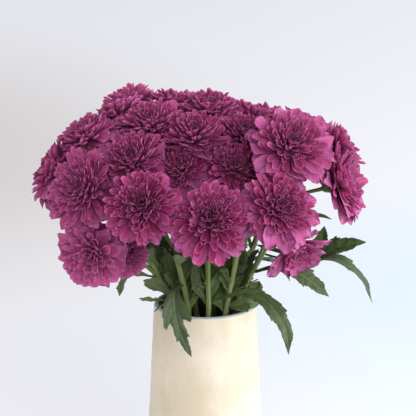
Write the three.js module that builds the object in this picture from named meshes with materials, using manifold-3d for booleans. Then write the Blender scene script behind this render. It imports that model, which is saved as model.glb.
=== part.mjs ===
// Chrysanthemums in a jar: a domed bouquet of double spray chrysanthemums standing in the water of a tall,
// slightly conical stoneware jar. Each flower head is one solid, and so is each leafy stem with its side shoots.
// Units are millimetres, +Z is up and -Y is the front. The origin is the centre of the jar's flat base.
import * as THREE from "three";
import { mergeVertices } from "three/addons/utils/BufferGeometryUtils.js";
import Module from "manifold-3d";

const wasm = await Module();
wasm.setup();

// ---------------------------------------------------------------- driving dimensions

const JAR_HEIGHT = 200;
const JAR_RIM_RADIUS = 44.4;
const JAR_MIDDLE_RADIUS = 49.5;
const JAR_BASE_RADIUS = 54.5;
const JAR_WALL = 4.8;
const JAR_FLOOR = 8;
const JAR_FOOT_ROUND = 3;
const JAR_SEGMENTS = 28;

const WATER_LEVEL = 128;
const WATER_SEGMENTS = 20;
const CLEARANCE = 0.35; // the gap that touching pieces keep

const STEM_RADIUS = 2.7;
const NECK_RADIUS = 2.35; // above the rim
const SHOOT_RADIUS = 1.6;
const SHOOT_STEP = 13; // the height between one side shoot and the next
const STEM_SIDES = 5;
const SHOOT_SIDES = 5;
const STEM_FOOT_RADIUS = 26; // how far from the jar's axis a stem's cut end stands
const STEM_MOUTH_RADIUS = 29; // and how far from it the stem passes the rim
const STEM_SPIRAL = 62; // degrees that a stem turns round the jar's axis between its foot and the rim

const CALYX_TOP_RADIUS = 5.2;
const CALYX_FOOT_RADIUS = 2.6;
const CALYX_HEIGHT = 7;
const SEAT_DEPTH = 4; // from a flower head's centre down to the flat seat under it
const SEAT_RADIUS = 5.4;
const SEAT_SIDES = 6;

const rad = THREE.MathUtils.degToRad;

// A unit vector from an azimuth (0 is +X, 90 is the back) and an elevation above the horizon, in degrees.
function direction(azimuth, elevation) {
  const a = rad(azimuth);
  const e = rad(elevation);
  return new THREE.Vector3(Math.cos(a) * Math.cos(e), Math.sin(a) * Math.cos(e), Math.sin(e));
}

// A repeatable stream of numbers from 0 to 1 for one seed (mulberry32).
function randomStream(seed) {
  let state = seed >>> 0;
  return () => {
    state = (state + 0x6d2b79f5) >>> 0;
    let t = state;
    t = Math.imul(t ^ (t >>> 15), t | 1);
    t ^= t + Math.imul(t ^ (t >>> 7), t | 61);
    return ((t ^ (t >>> 14)) >>> 0) / 4294967296;
  };
}

// ---------------------------------------------------------------- solids and meshes

function solidOf(geometry) {
  const bare = geometry.clone();
  bare.deleteAttribute("normal");
  bare.deleteAttribute("uv");
  const merged = mergeVertices(bare, 1e-4);
  return new wasm.Manifold(
    new wasm.Mesh({
      numProp: 3,
      vertProperties: new Float32Array(merged.attributes.position.array),
      triVerts: new Uint32Array(merged.index.array),
    }),
  );
}

function geometryOf(solid) {
  const mesh = solid.getMesh();
  const positions = new Float32Array(mesh.numVert * 3);
  for (let i = 0; i < mesh.numVert; i++) {
    positions.set(mesh.vertProperties.subarray(i * mesh.numProp, i * mesh.numProp + 3), i * 3);
  }
  const geometry = new THREE.BufferGeometry();
  geometry.setAttribute("position", new THREE.BufferAttribute(positions, 3));
  geometry.setIndex(new THREE.BufferAttribute(new Uint32Array(mesh.triVerts), 1));
  geometry.computeVertexNormals();
  return geometry;
}

// A closed geometry from a list of Vector3 and a list of triangles.
function geometryFrom(vertices, triangles) {
  const geometry = new THREE.BufferGeometry();
  geometry.setAttribute("position", new THREE.Float32BufferAttribute(vertices.flatMap((v) => v.toArray()), 3));
  geometry.setIndex(triangles.flat());
  geometry.computeVertexNormals();
  return geometry;
}

function joined(solids) {
  return solids.reduce((whole, solid) => whole.add(solid));
}

// ---------------------------------------------------------------- the jar and its water

const jarOuterRadius = (z) => {
  const t = z / JAR_HEIGHT;
  const bow = 4 * (JAR_MIDDLE_RADIUS - (JAR_BASE_RADIUS + JAR_RIM_RADIUS) / 2);
  return JAR_BASE_RADIUS + (JAR_RIM_RADIUS - JAR_BASE_RADIUS) * t + bow * t * (1 - t);
};
const jarInnerRadius = (z) => jarOuterRadius(z) - JAR_WALL;

function jarGeometry() {
  const profile = [new THREE.Vector2(0, 0), new THREE.Vector2(JAR_BASE_RADIUS - JAR_FOOT_ROUND, 0)];
  for (const turn of [30, 60]) {
    const x = jarOuterRadius(0) - JAR_FOOT_ROUND * (1 - Math.sin(rad(turn)));
    profile.push(new THREE.Vector2(x, JAR_FOOT_ROUND * (1 - Math.cos(rad(turn)))));
  }
  for (const z of [JAR_FOOT_ROUND, 70, 135]) profile.push(new THREE.Vector2(jarOuterRadius(z), z));
  const lip = JAR_WALL / 2;
  const lipCentre = new THREE.Vector2(JAR_RIM_RADIUS - lip, JAR_HEIGHT - lip);
  for (const turn of [0, 45, 90, 135, 180]) {
    const x = lipCentre.x + lip * Math.cos(rad(turn));
    profile.push(new THREE.Vector2(x, lipCentre.y + lip * Math.sin(rad(turn))));
  }
  for (const z of [110, JAR_FLOOR + 6]) profile.push(new THREE.Vector2(jarInnerRadius(z), z));
  profile.push(new THREE.Vector2(jarInnerRadius(JAR_FLOOR) - 6, JAR_FLOOR));
  profile.push(new THREE.Vector2(0, JAR_FLOOR));
  return new THREE.LatheGeometry(profile, JAR_SEGMENTS).rotateX(Math.PI / 2);
}

// The water is a plug with a small gap to the jar, and each stem stands in a plain hole in it.
function waterSolid(stemsInWater) {
  // The round plug lies inside the jar's flat facets, whose middles are nearer the axis than their corners.
  const facet = Math.cos(Math.PI / JAR_SEGMENTS);
  const radiusAt = (z) => jarInnerRadius(z) * facet - CLEARANCE;
  const profile = [
    new THREE.Vector2(0, JAR_FLOOR + CLEARANCE),
    new THREE.Vector2(radiusAt(JAR_FLOOR) - 6.5, JAR_FLOOR + CLEARANCE),
    new THREE.Vector2(radiusAt(JAR_FLOOR + 7) - 0.3, JAR_FLOOR + 7),
    new THREE.Vector2(radiusAt(WATER_LEVEL) - 0.2, WATER_LEVEL),
    new THREE.Vector2(0, WATER_LEVEL),
  ];
  const plug = solidOf(new THREE.LatheGeometry(profile, WATER_SEGMENTS).rotateX(Math.PI / 2));
  return stemsInWater.reduce((water, stem) => water.subtract(stem), plug);
}

// ---------------------------------------------------------------- the flower heads

// Where each flower head sits and faces: x, y, z of its centre, azimuth and elevation of its face, its radius,
// and the stem that carries it. A head that is only partly open leans its petals less.
const BLOOMS = [
  { at: [4, -85, 294], face: [-88, 30], radius: 35, stem: "front" },
  { at: [-18, -44, 327], face: [-112, 35], radius: 26, stem: "front" },
  { at: [-8, -30, 349], face: [-95, 60], radius: 32, stem: "front" },
  { at: [58, -74, 301], face: [-82, 28], radius: 31, stem: "front_right" },
  { at: [23, -42, 327], face: [-84, 36], radius: 28, stem: "front_right" },
  { at: [31, -18, 349], face: [-70, 60], radius: 28, stem: "front_right" },
  { at: [67, -46, 345], face: [-68, 44], radius: 35, stem: "right_front" },
  { at: [108, -18, 308], face: [-18, 23], radius: 37, open: 0.94, stem: "right_front" },
  { at: [73, -42, 264], face: [-58, -20], radius: 24, stem: "right_front" },
  { at: [112, 12, 330], face: [-6, 34], radius: 33, stem: "right" },
  { at: [84, 14, 346], face: [0, 58], radius: 33, stem: "right" },
  { at: [39, 26, 355], face: [25, 68], radius: 29, stem: "right" },
  { at: [95, 55, 320], face: [32, 32], radius: 31, stem: "back_right" },
  { at: [55, 60, 345], face: [50, 55], radius: 30, stem: "back_right" },
  { at: [60, 98, 310], face: [60, 22], radius: 32, stem: "back_right" },
  { at: [15, 62, 355], face: [80, 62], radius: 29, stem: "back" },
  { at: [8, 106, 322], face: [88, 28], radius: 32, stem: "back" },
  { at: [5, 6, 365], face: [-90, 74], radius: 29, stem: "back" },
  { at: [-50, 98, 326], face: [116, 28], radius: 32, stem: "back_left" },
  { at: [-66, 58, 363], face: [120, 58], radius: 31, stem: "back_left" },
  { at: [-25, 44, 364], face: [95, 72], radius: 29, stem: "back_left" },
  { at: [-98, 60, 328], face: [148, 28], radius: 31, stem: "left_back" },
  { at: [-118, 25, 298], face: [168, 8], radius: 30, stem: "left_back" },
  { at: [-73, 22, 358], face: [165, 60], radius: 30, stem: "left_back" },
  { at: [-123, -8, 318], face: [-168, 28], radius: 33, stem: "left" },
  { at: [-97, -11, 346], face: [-150, 54], radius: 30, stem: "left" },
  { at: [-44, -14, 356], face: [-110, 64], radius: 31, stem: "left" },
  { at: [-48, -78, 305], face: [-98, 28], radius: 34, stem: "left_front" },
  { at: [-58, -46, 332], face: [-108, 48], radius: 32, stem: "left_front" },
  { at: [-96, -55, 311], face: [-120, 28], radius: 36, stem: "far_left" },
  { at: [-89, -62, 262], face: [-115, -4], radius: 32, stem: "far_left" },
  { at: [-63, -46, 255], face: [-62, -16], radius: 21, stem: "far_left" },
].map((bloom, index) => ({
  ...bloom,
  name: `bloom_${String(index + 1).padStart(2, "0")}`,
  seed: 101 + index,
  centre: new THREE.Vector3(...bloom.at),
  axis: direction(...bloom.face),
}));

// The whorls of ray petals from the lowest and longest to the sunken eye: how far each leans from the head's
// axis in degrees, its petals' length as a share of the head's radius, and how many petals it has.
const WHORLS = [
  { lean: 103, reach: 1.0, petals: 10 },
  { lean: 82, reach: 0.99, petals: 9 },
  { lean: 61, reach: 0.88, petals: 8 },
  { lean: 41, reach: 0.72, petals: 6 },
  { lean: 22, reach: 0.56, petals: 5 },
];
const PETAL_SHARE = 0.56; // a petal's width as a share of its place in the whorl
const NOTCH_DEPTH = 0.62; // where the gap between two petals ends, as a share of their length
const ROOT_DEPTH = 0.56; // where the fold between two whorls ends, as a share of the upper whorl's length
const EYE_REACH = 0.3;
const SQUEEZE_MARGIN = 0.25; // how far a petal stays from the plane between two heads
const SQUEEZE_DEPTH = 4; // how deep before that plane a petal begins to bend

const pointAt = (lean, turn, length) =>
  new THREE.Vector3(
    length * Math.sin(rad(lean)) * Math.cos(rad(turn)),
    length * Math.sin(rad(lean)) * Math.sin(rad(turn)),
    length * Math.cos(rad(lean)),
  );

// Triangles between two rings of vertices that go round the same axis, each given as a list of
// { turn, index } in rising turn. The lower ring is the one further from the head's axis.
function bandBetween(lower, upper) {
  const triangles = [];
  const turnOf = (ring, i) => ring[i % ring.length].turn + 360 * Math.floor(i / ring.length);
  let start = 0;
  while (turnOf(upper, start) < turnOf(lower, 0)) start++;
  let i = 0;
  let j = start;
  while (i < lower.length || j < start + upper.length) {
    const a = lower[i % lower.length].index;
    const b = upper[j % upper.length].index;
    const upperDone = j >= start + upper.length;
    if (i < lower.length && (upperDone || turnOf(lower, i + 1) <= turnOf(upper, j + 1))) {
      triangles.push([a, lower[(i + 1) % lower.length].index, b]);
      i++;
    } else {
      triangles.push([a, upper[(j + 1) % upper.length].index, b]);
      j++;
    }
  }
  return triangles;
}

// The planes between this head and the ones that it presses on, in the head's own frame. Each stands where
// the line between the two heads' middles divides as their radii do.
function pressingPlanes(bloom, turnBack) {
  const middle = (b) => b.centre.clone().addScaledVector(b.axis, 0.3 * b.radius);
  const here = middle(bloom);
  return BLOOMS.filter((other) => other !== bloom)
    .map((other) => {
      const line = middle(other).sub(here);
      const distance = line.length();
      const share = bloom.radius / (bloom.radius + other.radius);
      const point = here.clone().addScaledVector(line, share).sub(bloom.centre);
      const near = distance < 1.12 * (bloom.radius + other.radius);
      const normal = line.normalize();
      return { near, offset: normal.dot(point), normal: normal.clone().applyQuaternion(turnBack) };
    })
    .filter((plane) => plane.near);
}

// Moves a point back from the planes that it nears, more and more softly, so that it never passes one.
function squeezed(point, planes) {
  const moved = point.clone();
  const free = SQUEEZE_MARGIN + SQUEEZE_DEPTH;
  const depthUnder = ({ normal, offset }) => offset - normal.dot(moved);
  for (const plane of planes) {
    const depth = depthUnder(plane);
    const kept = SQUEEZE_MARGIN + SQUEEZE_DEPTH * Math.exp((depth - free) / SQUEEZE_DEPTH);
    if (depth < free) moved.addScaledVector(plane.normal, depth - kept);
  }
  for (const plane of [...planes, ...planes]) {
    moved.addScaledVector(plane.normal, Math.min(0, depthUnder(plane) - SQUEEZE_MARGIN));
  }
  return moved;
}

// A flower head as one closed surface that is folded in and out over its whorls of petals, from the flat
// seat at the calyx up to the eye.
function bloomGeometry(bloom, planes) {
  const random = randomStream(bloom.seed);
  const vary = (size) => (random() * 2 - 1) * size;
  const vertices = [];
  const ring = [];
  const add = (point) => vertices.push(squeezed(point, planes)) - 1;

  const seat = Array.from({ length: SEAT_SIDES }, (_, i) => {
    const turn = (360 * i) / SEAT_SIDES;
    return { turn, index: vertices.push(pointAt(90, turn, SEAT_RADIUS).setZ(-SEAT_DEPTH)) - 1 };
  });
  ring.push(seat);

  const whorls = WHORLS.map((whorl) => ({ ...whorl, lean: whorl.lean * (bloom.open ?? 1) }));
  whorls.forEach(({ lean, reach, petals }, k) => {
    const pitch = 360 / petals;
    const begin = pitch * (0.5 * (k % 2) + 0.25 * random());
    const tips = [];
    for (let i = 0; i < petals; i++) {
      const middle = begin + pitch * (i + 0.5);
      const length = bloom.radius * (reach + vary(0.06));
      const tilt = lean + vary(3);
      const half = (pitch * PETAL_SHARE) / 2;
      const notch = bloom.radius * reach * NOTCH_DEPTH;
      tips.push({ turn: middle - pitch / 2, index: add(pointAt(lean, middle - pitch / 2, notch)) });
      tips.push({ turn: middle - half, index: add(pointAt(tilt, middle - half, length)) });
      tips.push({ turn: middle + half, index: add(pointAt(tilt, middle + half, length * (1 + vary(0.03)))) });
    }
    ring.push(tips);
    const above = whorls[k + 1] ?? { lean: 8, reach: EYE_REACH, petals: 5 };
    const foldLean = (lean + above.lean) / 2;
    const foldReach = bloom.radius * above.reach * ROOT_DEPTH;
    ring.push(
      Array.from({ length: above.petals }, (_, i) => {
        const turn = begin + (360 * i) / above.petals;
        return { turn, index: add(pointAt(foldLean, turn, foldReach)) };
      }),
    );
  });
  const eye = add(new THREE.Vector3(0, 0, bloom.radius * EYE_REACH));

  const triangles = seat.slice(2).map(({ index }, i) => [seat[0].index, index, seat[i + 1].index]);
  for (let i = 0; i + 1 < ring.length; i++) triangles.push(...bandBetween(ring[i], ring[i + 1]));
  const last = ring[ring.length - 1];
  last.forEach(({ index }, i) => triangles.push([eye, index, last[(i + 1) % last.length].index]));
  return geometryFrom(vertices, triangles);
}

function bloomMesh(bloom, material) {
  const turn = new THREE.Quaternion().setFromUnitVectors(new THREE.Vector3(0, 0, 1), bloom.axis);
  const planes = pressingPlanes(bloom, turn.clone().invert());
  const mesh = new THREE.Mesh(bloomGeometry(bloom, planes), material);
  mesh.name = bloom.name;
  mesh.position.copy(bloom.centre);
  mesh.quaternion.copy(turn);
  return mesh;
}

// ---------------------------------------------------------------- the leafy stems

// Each stem's azimuth where it passes the rim, and the x, y, z of the neck where its shoots part.
const STEMS = {
  front: { azimuth: -84, neck: [2, -34, 262] },
  front_right: { azimuth: -52, neck: [30, -26, 266] },
  right_front: { azimuth: -20, neck: [55, -14, 260] },
  right: { azimuth: 12, neck: [50, 12, 272] },
  back_right: { azimuth: 44, neck: [44, 42, 266] },
  back: { azimuth: 78, neck: [6, 46, 272] },
  back_left: { azimuth: 112, neck: [-26, 46, 270] },
  left_back: { azimuth: 145, neck: [-50, 28, 262] },
  left: { azimuth: 176, neck: [-54, 2, 268] },
  far_left: { azimuth: -152, neck: [-52, -16, 252] },
  left_front: { azimuth: -118, neck: [-26, -36, 260] },
};

// A leaf blade's outline from its base to its tip, as shares of its length and of its half width: the places
// along the rib, the places along the edge that they are joined to, and how far out the edge is there. The
// edge runs ahead of the rib, as the side veins do, and drops back behind each tooth or lobe.
const LEAF_SHAPES = {
  toothed: {
    rib: [0, 0.14, 0.28, 0.42, 0.56, 0.72, 0.88],
    edge: [0.02, 0.32, 0.3, 0.6, 0.58, 0.82, 0.84],
    out: [0.16, 0.82, 0.62, 1.0, 0.72, 0.62, 0.42],
  },
  lobed: {
    rib: [0, 0.12, 0.24, 0.36, 0.5, 0.66, 0.84],
    edge: [0.02, 0.3, 0.58, 0.44, 0.76, 0.7, 0.9],
    out: [0.14, 0.86, 1.0, 0.36, 0.5, 0.3, 0.22],
  },
  broad: {
    rib: [0, 0.28, 0.54, 0.78],
    edge: [0.02, 0.5, 0.52, 0.82],
    out: [0.16, 1.0, 0.78, 0.5],
  },
};
const LEAF_THICKNESS = 1.3; // over the rib; the edge is thin
const LEAF_TROUGH = 14; // degrees that each half of the blade rises from the rib

// The leaves on the side that is seen first: the stem, the height that the leaf leaves it at, the points that
// its rib passes up to the tip, the blade's width, the share of the rib that is bare stalk, and the roll
// about the rib in degrees. A leaf has a bare fifth, no roll and a toothed outline where its row doesn't say.
const SHOWN_LEAVES = [
  // the long leaf that arches over the rim to the right
  {
    stem: "front",
    z: 208,
    rib: [[16, -34, 215], [30, -38, 220], [44, -44, 219], [56, -53, 211], [66, -60, 196], [69, -62, 174]],
    width: 17,
    bare: 0.22,
    roll: 40,
  },
  // the three-lobed leaf that hangs over the rim in front
  {
    stem: "left_front",
    z: 224,
    rib: [[-25, -43, 222], [-25, -53, 209], [-20, -58, 192], [-11, -61, 172]],
    width: 25,
    bare: 0.16,
    roll: 6,
    shape: "lobed",
  },
  // the broad leaves on the right, under the lowest heads
  {
    stem: "right_front",
    z: 228,
    rib: [[60, -27, 239], [80, -32, 234], [104, -36, 216]],
    width: 19,
    bare: 0.3,
    roll: 40,
  },
  {
    stem: "right",
    z: 248,
    rib: [[70, -3, 245], [92, -11, 244], [114, -16, 254], [136, -20, 259]],
    width: 21,
    bare: 0.44,
    roll: 40,
  },
  {
    stem: "right",
    z: 242,
    rib: [[70, -3, 239], [94, -9, 241], [112, -11, 241], [125, -12, 234], [136, -12, 221], [144, -12, 202]],
    width: 14,
    bare: 0.26,
    roll: 24,
  },
  {
    stem: "right",
    z: 254,
    rib: [[70, 2, 250], [91, -6, 247], [99, -12, 258], [101, -12, 271]],
    width: 20,
    bare: 0.46,
    roll: 82,
    shape: "broad",
  },
  // the small leaves on the left, at the rim
  { stem: "far_left", z: 206, rib: [[-45, -25, 209], [-56, -29, 212]], width: 11, bare: 0.4, roll: 40 },
  { stem: "far_left", z: 210, rib: [[-41, -23, 221], [-52, -28, 228]], width: 19, roll: 50 },
  { stem: "far_left", z: 226, rib: [[-57, -15, 229], [-77, -22, 230]], width: 18, bare: 0.3, roll: 40 },
  { stem: "left_front", z: 207, rib: [[-31, -36, 211], [-43, -44, 205]], width: 7, bare: 0.3, roll: 20 },
  // the broad leaves between the stems
  { stem: "left", z: 218, rib: [[-22, -5, 240], [-8, -8, 256]], width: 32, roll: 58, shape: "lobed" },
  { stem: "right", z: 222, rib: [[22, 0, 242], [8, -2, 256]], width: 32, roll: -60, shape: "lobed" },
  { stem: "front_right", z: 214, rib: [[27, -13, 238], [34, -15, 254]], width: 22, roll: 55 },
  { stem: "front", z: 252, rib: [[-6, -39, 248], [-7, -42, 238], [-4, -43, 225]], width: 10 },
  { stem: "front", z: 206, rib: [[-5, -29, 220], [-11, -29, 238]], width: 13, roll: -60, shape: "broad" },
  { stem: "front_right", z: 216, rib: [[35, -29, 224], [45, -32, 230]], width: 9, bare: 0.4, shape: "broad" },
  { stem: "left_back", z: 206, rib: [[-32, 8, 232], [-34, 4, 254]], width: 28, roll: 50 },
  { stem: "back", z: 206, rib: [[13, 15, 232], [20, 7, 254]], width: 32, bare: 0.16 },
  { stem: "back_left", z: 204, rib: [[-14, 16, 228], [-18, 6, 256]], width: 30, bare: 0.12, shape: "broad" },
  { stem: "right", z: 204, rib: [[36, 2, 228], [42, -2, 252]], width: 26, bare: 0.12, shape: "broad" },
];

// The leaves round the other sides stand out from their stems and hang more the longer they are: the stem,
// the height, the azimuth, the length and the width.
const FILLING_LEAVES = [
  { stem: "back_right", z: 222, azimuth: 22, length: 64, width: 24 },
  { stem: "back_right", z: 244, azimuth: 66, length: 54, width: 23 },
  { stem: "back_right", z: 210, azimuth: 74, length: 66, width: 25 },
  { stem: "back", z: 216, azimuth: 92, length: 76, width: 27 },
  { stem: "back", z: 240, azimuth: 66, length: 50, width: 24 },
  { stem: "back_left", z: 222, azimuth: 122, length: 62, width: 25 },
  { stem: "back_left", z: 246, azimuth: 96, length: 46, width: 22 },
  { stem: "left_back", z: 216, azimuth: 150, length: 72, width: 25 },
  { stem: "left_back", z: 240, azimuth: 126, length: 50, width: 23 },
  { stem: "left", z: 238, azimuth: 164, length: 58, width: 24 },
];

const smoothPath = (points) => new THREE.CatmullRomCurve3(points, false, "centripetal");

function tubeSolid(path, radius, sides, steps) {
  const corners = Array.from({ length: sides }, (_, i) => {
    const turn = (2 * Math.PI * i) / sides;
    return new THREE.Vector2(radius * Math.cos(turn), radius * Math.sin(turn));
  });
  return solidOf(new THREE.ExtrudeGeometry(new THREE.Shape(corners), { steps, extrudePath: path }));
}

// The stem's line from its cut end on the jar's floor, past the rim, to the neck.
function stemLine({ azimuth, neck }) {
  const mouth = direction(azimuth, 0).multiplyScalar(STEM_MOUTH_RADIUS).setZ(JAR_HEIGHT);
  const foot = direction(azimuth - STEM_SPIRAL, 0).multiplyScalar(STEM_FOOT_RADIUS).setZ(JAR_FLOOR);
  const run = mouth.clone().sub(foot);
  const lean = STEM_RADIUS * Math.hypot(run.x, run.y) / run.length();
  foot.addScaledVector(run.clone().normalize(), lean + CLEARANCE);
  return { foot, mouth, neck: new THREE.Vector3(...neck) };
}

// A calyx is the green cup under a head: a short cone with its wide end at the head's seat.
function calyxSolid({ centre, axis }) {
  const cup = new THREE.CylinderGeometry(CALYX_TOP_RADIUS, CALYX_FOOT_RADIUS, CALYX_HEIGHT, STEM_SIDES);
  cup.applyQuaternion(new THREE.Quaternion().setFromUnitVectors(new THREE.Vector3(0, 1, 0), axis));
  const middle = SEAT_DEPTH + CLEARANCE + CALYX_HEIGHT / 2;
  cup.translate(...centre.clone().addScaledVector(axis, -middle).toArray());
  return solidOf(cup);
}

// A shoot leaves the stem's middle line and comes up behind its head along the head's own axis.
function shootPath(root, { centre, axis }) {
  const top = centre.clone().addScaledVector(axis, -(SEAT_DEPTH + CLEARANCE + CALYX_HEIGHT - 2));
  const before = top.clone().addScaledVector(axis, -0.34 * top.distanceTo(root));
  return smoothPath([root, before, top]);
}

// The points that a filling leaf's rib passes: it rises a little and falls further the longer it is.
function hangingRib(foot, { azimuth, length }) {
  const points = [foot];
  for (const share of [0.2, 0.5, 0.8]) {
    const heading = direction(azimuth, 34 - 1.7 * length * share);
    points.push(points[points.length - 1].clone().addScaledVector(heading, length / 3));
  }
  return points.slice(1);
}

// A leaf: two skins that share the toothed edge, thickest over the rib. The skins' triangles run alike.
function leafSolid(foot, leaf) {
  const through = leaf.rib ? leaf.rib.map((point) => new THREE.Vector3(...point)) : hangingRib(foot, leaf);
  const path = smoothPath([foot, ...through]);
  const run = through[through.length - 1].clone().sub(foot);
  const level = new THREE.Vector3(-run.y, run.x, 0).normalize();
  const { bare = 0.2, roll = 0, shape = "toothed" } = leaf;
  const blade = (share) => bare + (1 - bare) * share;
  const frameAt = (along) => {
    const tangent = path.getTangentAt(along);
    const side = level.clone().addScaledVector(tangent, -level.dot(tangent)).normalize();
    side.applyAxisAngle(tangent, rad(roll));
    return { point: path.getPointAt(along), side, face: tangent.clone().cross(side) };
  };

  const vertices = [];
  // Four corners of the leaf at one place: over the rib, on the left edge, under the rib, on the right edge.
  const station = (ribAlong, edgeAlong, out, thick) => {
    const rib = frameAt(ribAlong);
    const edge = frameAt(edgeAlong);
    const lift = edgeAlong > bare ? Math.tan(rad(LEAF_TROUGH)) * out : 0;
    const lifted = edge.point.clone().addScaledVector(edge.face, lift);
    const edgePoint = (hand) => lifted.clone().addScaledVector(edge.side, hand * out);
    return [
      rib.point.clone().addScaledVector(rib.face, thick),
      edgePoint(1),
      rib.point.clone().addScaledVector(rib.face, -thick),
      edgePoint(-1),
    ].map((point) => vertices.push(point) - 1);
  };
  const { rib, edge, out } = LEAF_SHAPES[shape];
  const stalk = 0.08 * leaf.width + 0.3;
  const stations = [station(0, 0, stalk, 0.9)];
  rib.forEach((share, i) => {
    const wide = i ? out[i] * (leaf.width / 2) : stalk;
    stations.push(station(blade(share), blade(edge[i]), wide, i ? LEAF_THICKNESS / 2 : 0.8));
  });
  const tip = vertices.push(path.getPointAt(1)) - 1;

  const triangles = [];
  stations.slice(1).forEach((there, i) => {
    const here = stations[i];
    here.forEach((a, n) => {
      const b = here[(n + 1) % 4];
      const c = there[n];
      const d = there[(n + 1) % 4];
      // The diagonal runs from the rib forward to the edge on all four strips.
      if (n % 2) triangles.push([a, c, b], [c, d, b]);
      else triangles.push([a, c, d], [a, d, b]);
    });
  });
  const last = stations[stations.length - 1];
  last.forEach((a, n) => triangles.push([a, tip, last[(n + 1) % 4]]));
  const [top, left, bottom, right] = stations[0];
  triangles.push([top, left, bottom], [top, bottom, right]);
  return solidOf(geometryFrom(vertices, triangles));
}

// A whole stem: the straight length that stands in the jar, the bent neck above it, and on that the shoots
// with their calyxes and the leaves, each rooted on the neck's middle line.
function leafyStemSolid(name, { foot, mouth, neck }) {
  const upper = smoothPath([mouth.clone().lerp(foot, 0.08), mouth, neck]);
  const upperPoints = upper.getPoints(60);
  const rootAt = (z) => upperPoints.find((point) => point.z >= z) ?? neck;
  const pieces = [
    tubeSolid(new THREE.LineCurve3(foot, mouth.clone().lerp(foot, 0.05)), STEM_RADIUS, STEM_SIDES, 1),
    tubeSolid(upper, NECK_RADIUS, STEM_SIDES, 4),
  ];
  BLOOMS.filter((bloom) => bloom.stem === name).forEach((bloom, i) => {
    const root = rootAt(neck.z - 3 - SHOOT_STEP * i);
    const path = shootPath(root, bloom);
    const steps = path.getLength() < 65 ? 2 : 3;
    pieces.push(tubeSolid(path, SHOOT_RADIUS, SHOOT_SIDES, steps), calyxSolid(bloom));
  });
  for (const leaf of [...SHOWN_LEAVES, ...FILLING_LEAVES].filter((l) => l.stem === name)) {
    pieces.push(leafSolid(rootAt(leaf.z), leaf));
  }
  return joined(pieces);
}

// ---------------------------------------------------------------- the bouquet

const stoneware = new THREE.MeshStandardMaterial({ color: 0xeadfca, roughness: 0.55, metalness: 0 });
const clearWater = new THREE.MeshStandardMaterial({
  color: 0xbfd0cc,
  roughness: 0.08,
  transparent: true,
  opacity: 0.5,
});
const petals = new THREE.MeshStandardMaterial({ color: 0x93346c, roughness: 0.7, metalness: 0 });
const foliage = new THREE.MeshStandardMaterial({ color: 0x465a2c, roughness: 0.6, metalness: 0 });

const bouquet = new THREE.Group();

function addSolid(name, geometry, material) {
  const mesh = new THREE.Mesh(geometry, material);
  mesh.name = name;
  bouquet.add(mesh);
}

addSolid("jar", jarGeometry(), stoneware);

const lines = Object.fromEntries(Object.entries(STEMS).map(([name, stem]) => [name, stemLine(stem)]));
const holes = Object.values(lines).map(({ foot, mouth }) => {
  const run = mouth.clone().sub(foot).normalize();
  const path = new THREE.LineCurve3(foot.clone().addScaledVector(run, -12), mouth);
  return tubeSolid(path, STEM_RADIUS + 2 * CLEARANCE, STEM_SIDES, 1);
});
addSolid("water", geometryOf(waterSolid(holes)), clearWater);

for (const [name, line] of Object.entries(lines)) {
  addSolid(`leafy_stem_${name}`, geometryOf(leafyStemSolid(name, line)), foliage);
}
for (const bloom of BLOOMS) bouquet.add(bloomMesh(bloom, petals));

export default bouquet;
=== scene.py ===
import bpy
import numpy as np
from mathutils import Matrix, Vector


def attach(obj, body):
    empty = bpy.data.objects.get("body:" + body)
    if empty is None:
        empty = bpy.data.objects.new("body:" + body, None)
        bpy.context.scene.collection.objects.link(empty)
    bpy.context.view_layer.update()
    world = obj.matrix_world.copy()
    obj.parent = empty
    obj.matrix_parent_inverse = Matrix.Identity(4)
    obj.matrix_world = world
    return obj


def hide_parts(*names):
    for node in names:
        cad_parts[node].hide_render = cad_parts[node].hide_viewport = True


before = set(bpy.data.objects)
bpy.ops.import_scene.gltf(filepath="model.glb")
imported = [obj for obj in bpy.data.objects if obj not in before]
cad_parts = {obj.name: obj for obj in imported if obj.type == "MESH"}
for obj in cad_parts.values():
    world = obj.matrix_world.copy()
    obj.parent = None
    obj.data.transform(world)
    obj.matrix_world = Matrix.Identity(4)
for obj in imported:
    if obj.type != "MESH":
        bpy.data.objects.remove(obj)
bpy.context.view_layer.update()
MM = 0.001


# ---------------------------------------------------------------- the jar
# A tall stoneware jar, thrown on the wheel, that narrows a little from its foot to a rounded lip.
# Its cream matt glaze is mottled and slightly streaked, and breaks to a cool grey on the lip; inside, the
# wall is painted a dark grey-green as the shade in the jar.

JAR_HEIGHT = 200 * MM
JAR_RADII = (54.5 * MM, 49.5 * MM, 44.4 * MM)  # at the foot, half way up and at the rim
JAR_WALL = 4.8 * MM
JAR_FLOOR = 8 * MM
JAR_FOOT_ROUND = 3 * MM
JAR_CORNER_ROUND = 6 * MM  # inside, between the wall and the floor
JAR_STEPS = 144  # round the jar
THROWING_RING = 0.12 * MM  # how far the throwing rings stand out
RING_FADE = 12 * MM  # the height over which they fade, above the foot and below the lip


def jar_radius(z):
    """The outer radius at height z: a parabola through the radii at the foot, half way up and at the rim."""
    foot, middle, rim = JAR_RADII
    t = z / JAR_HEIGHT
    return foot + (rim - foot) * t + 4 * (middle - (foot + rim) / 2) * t * (1 - t)


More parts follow.
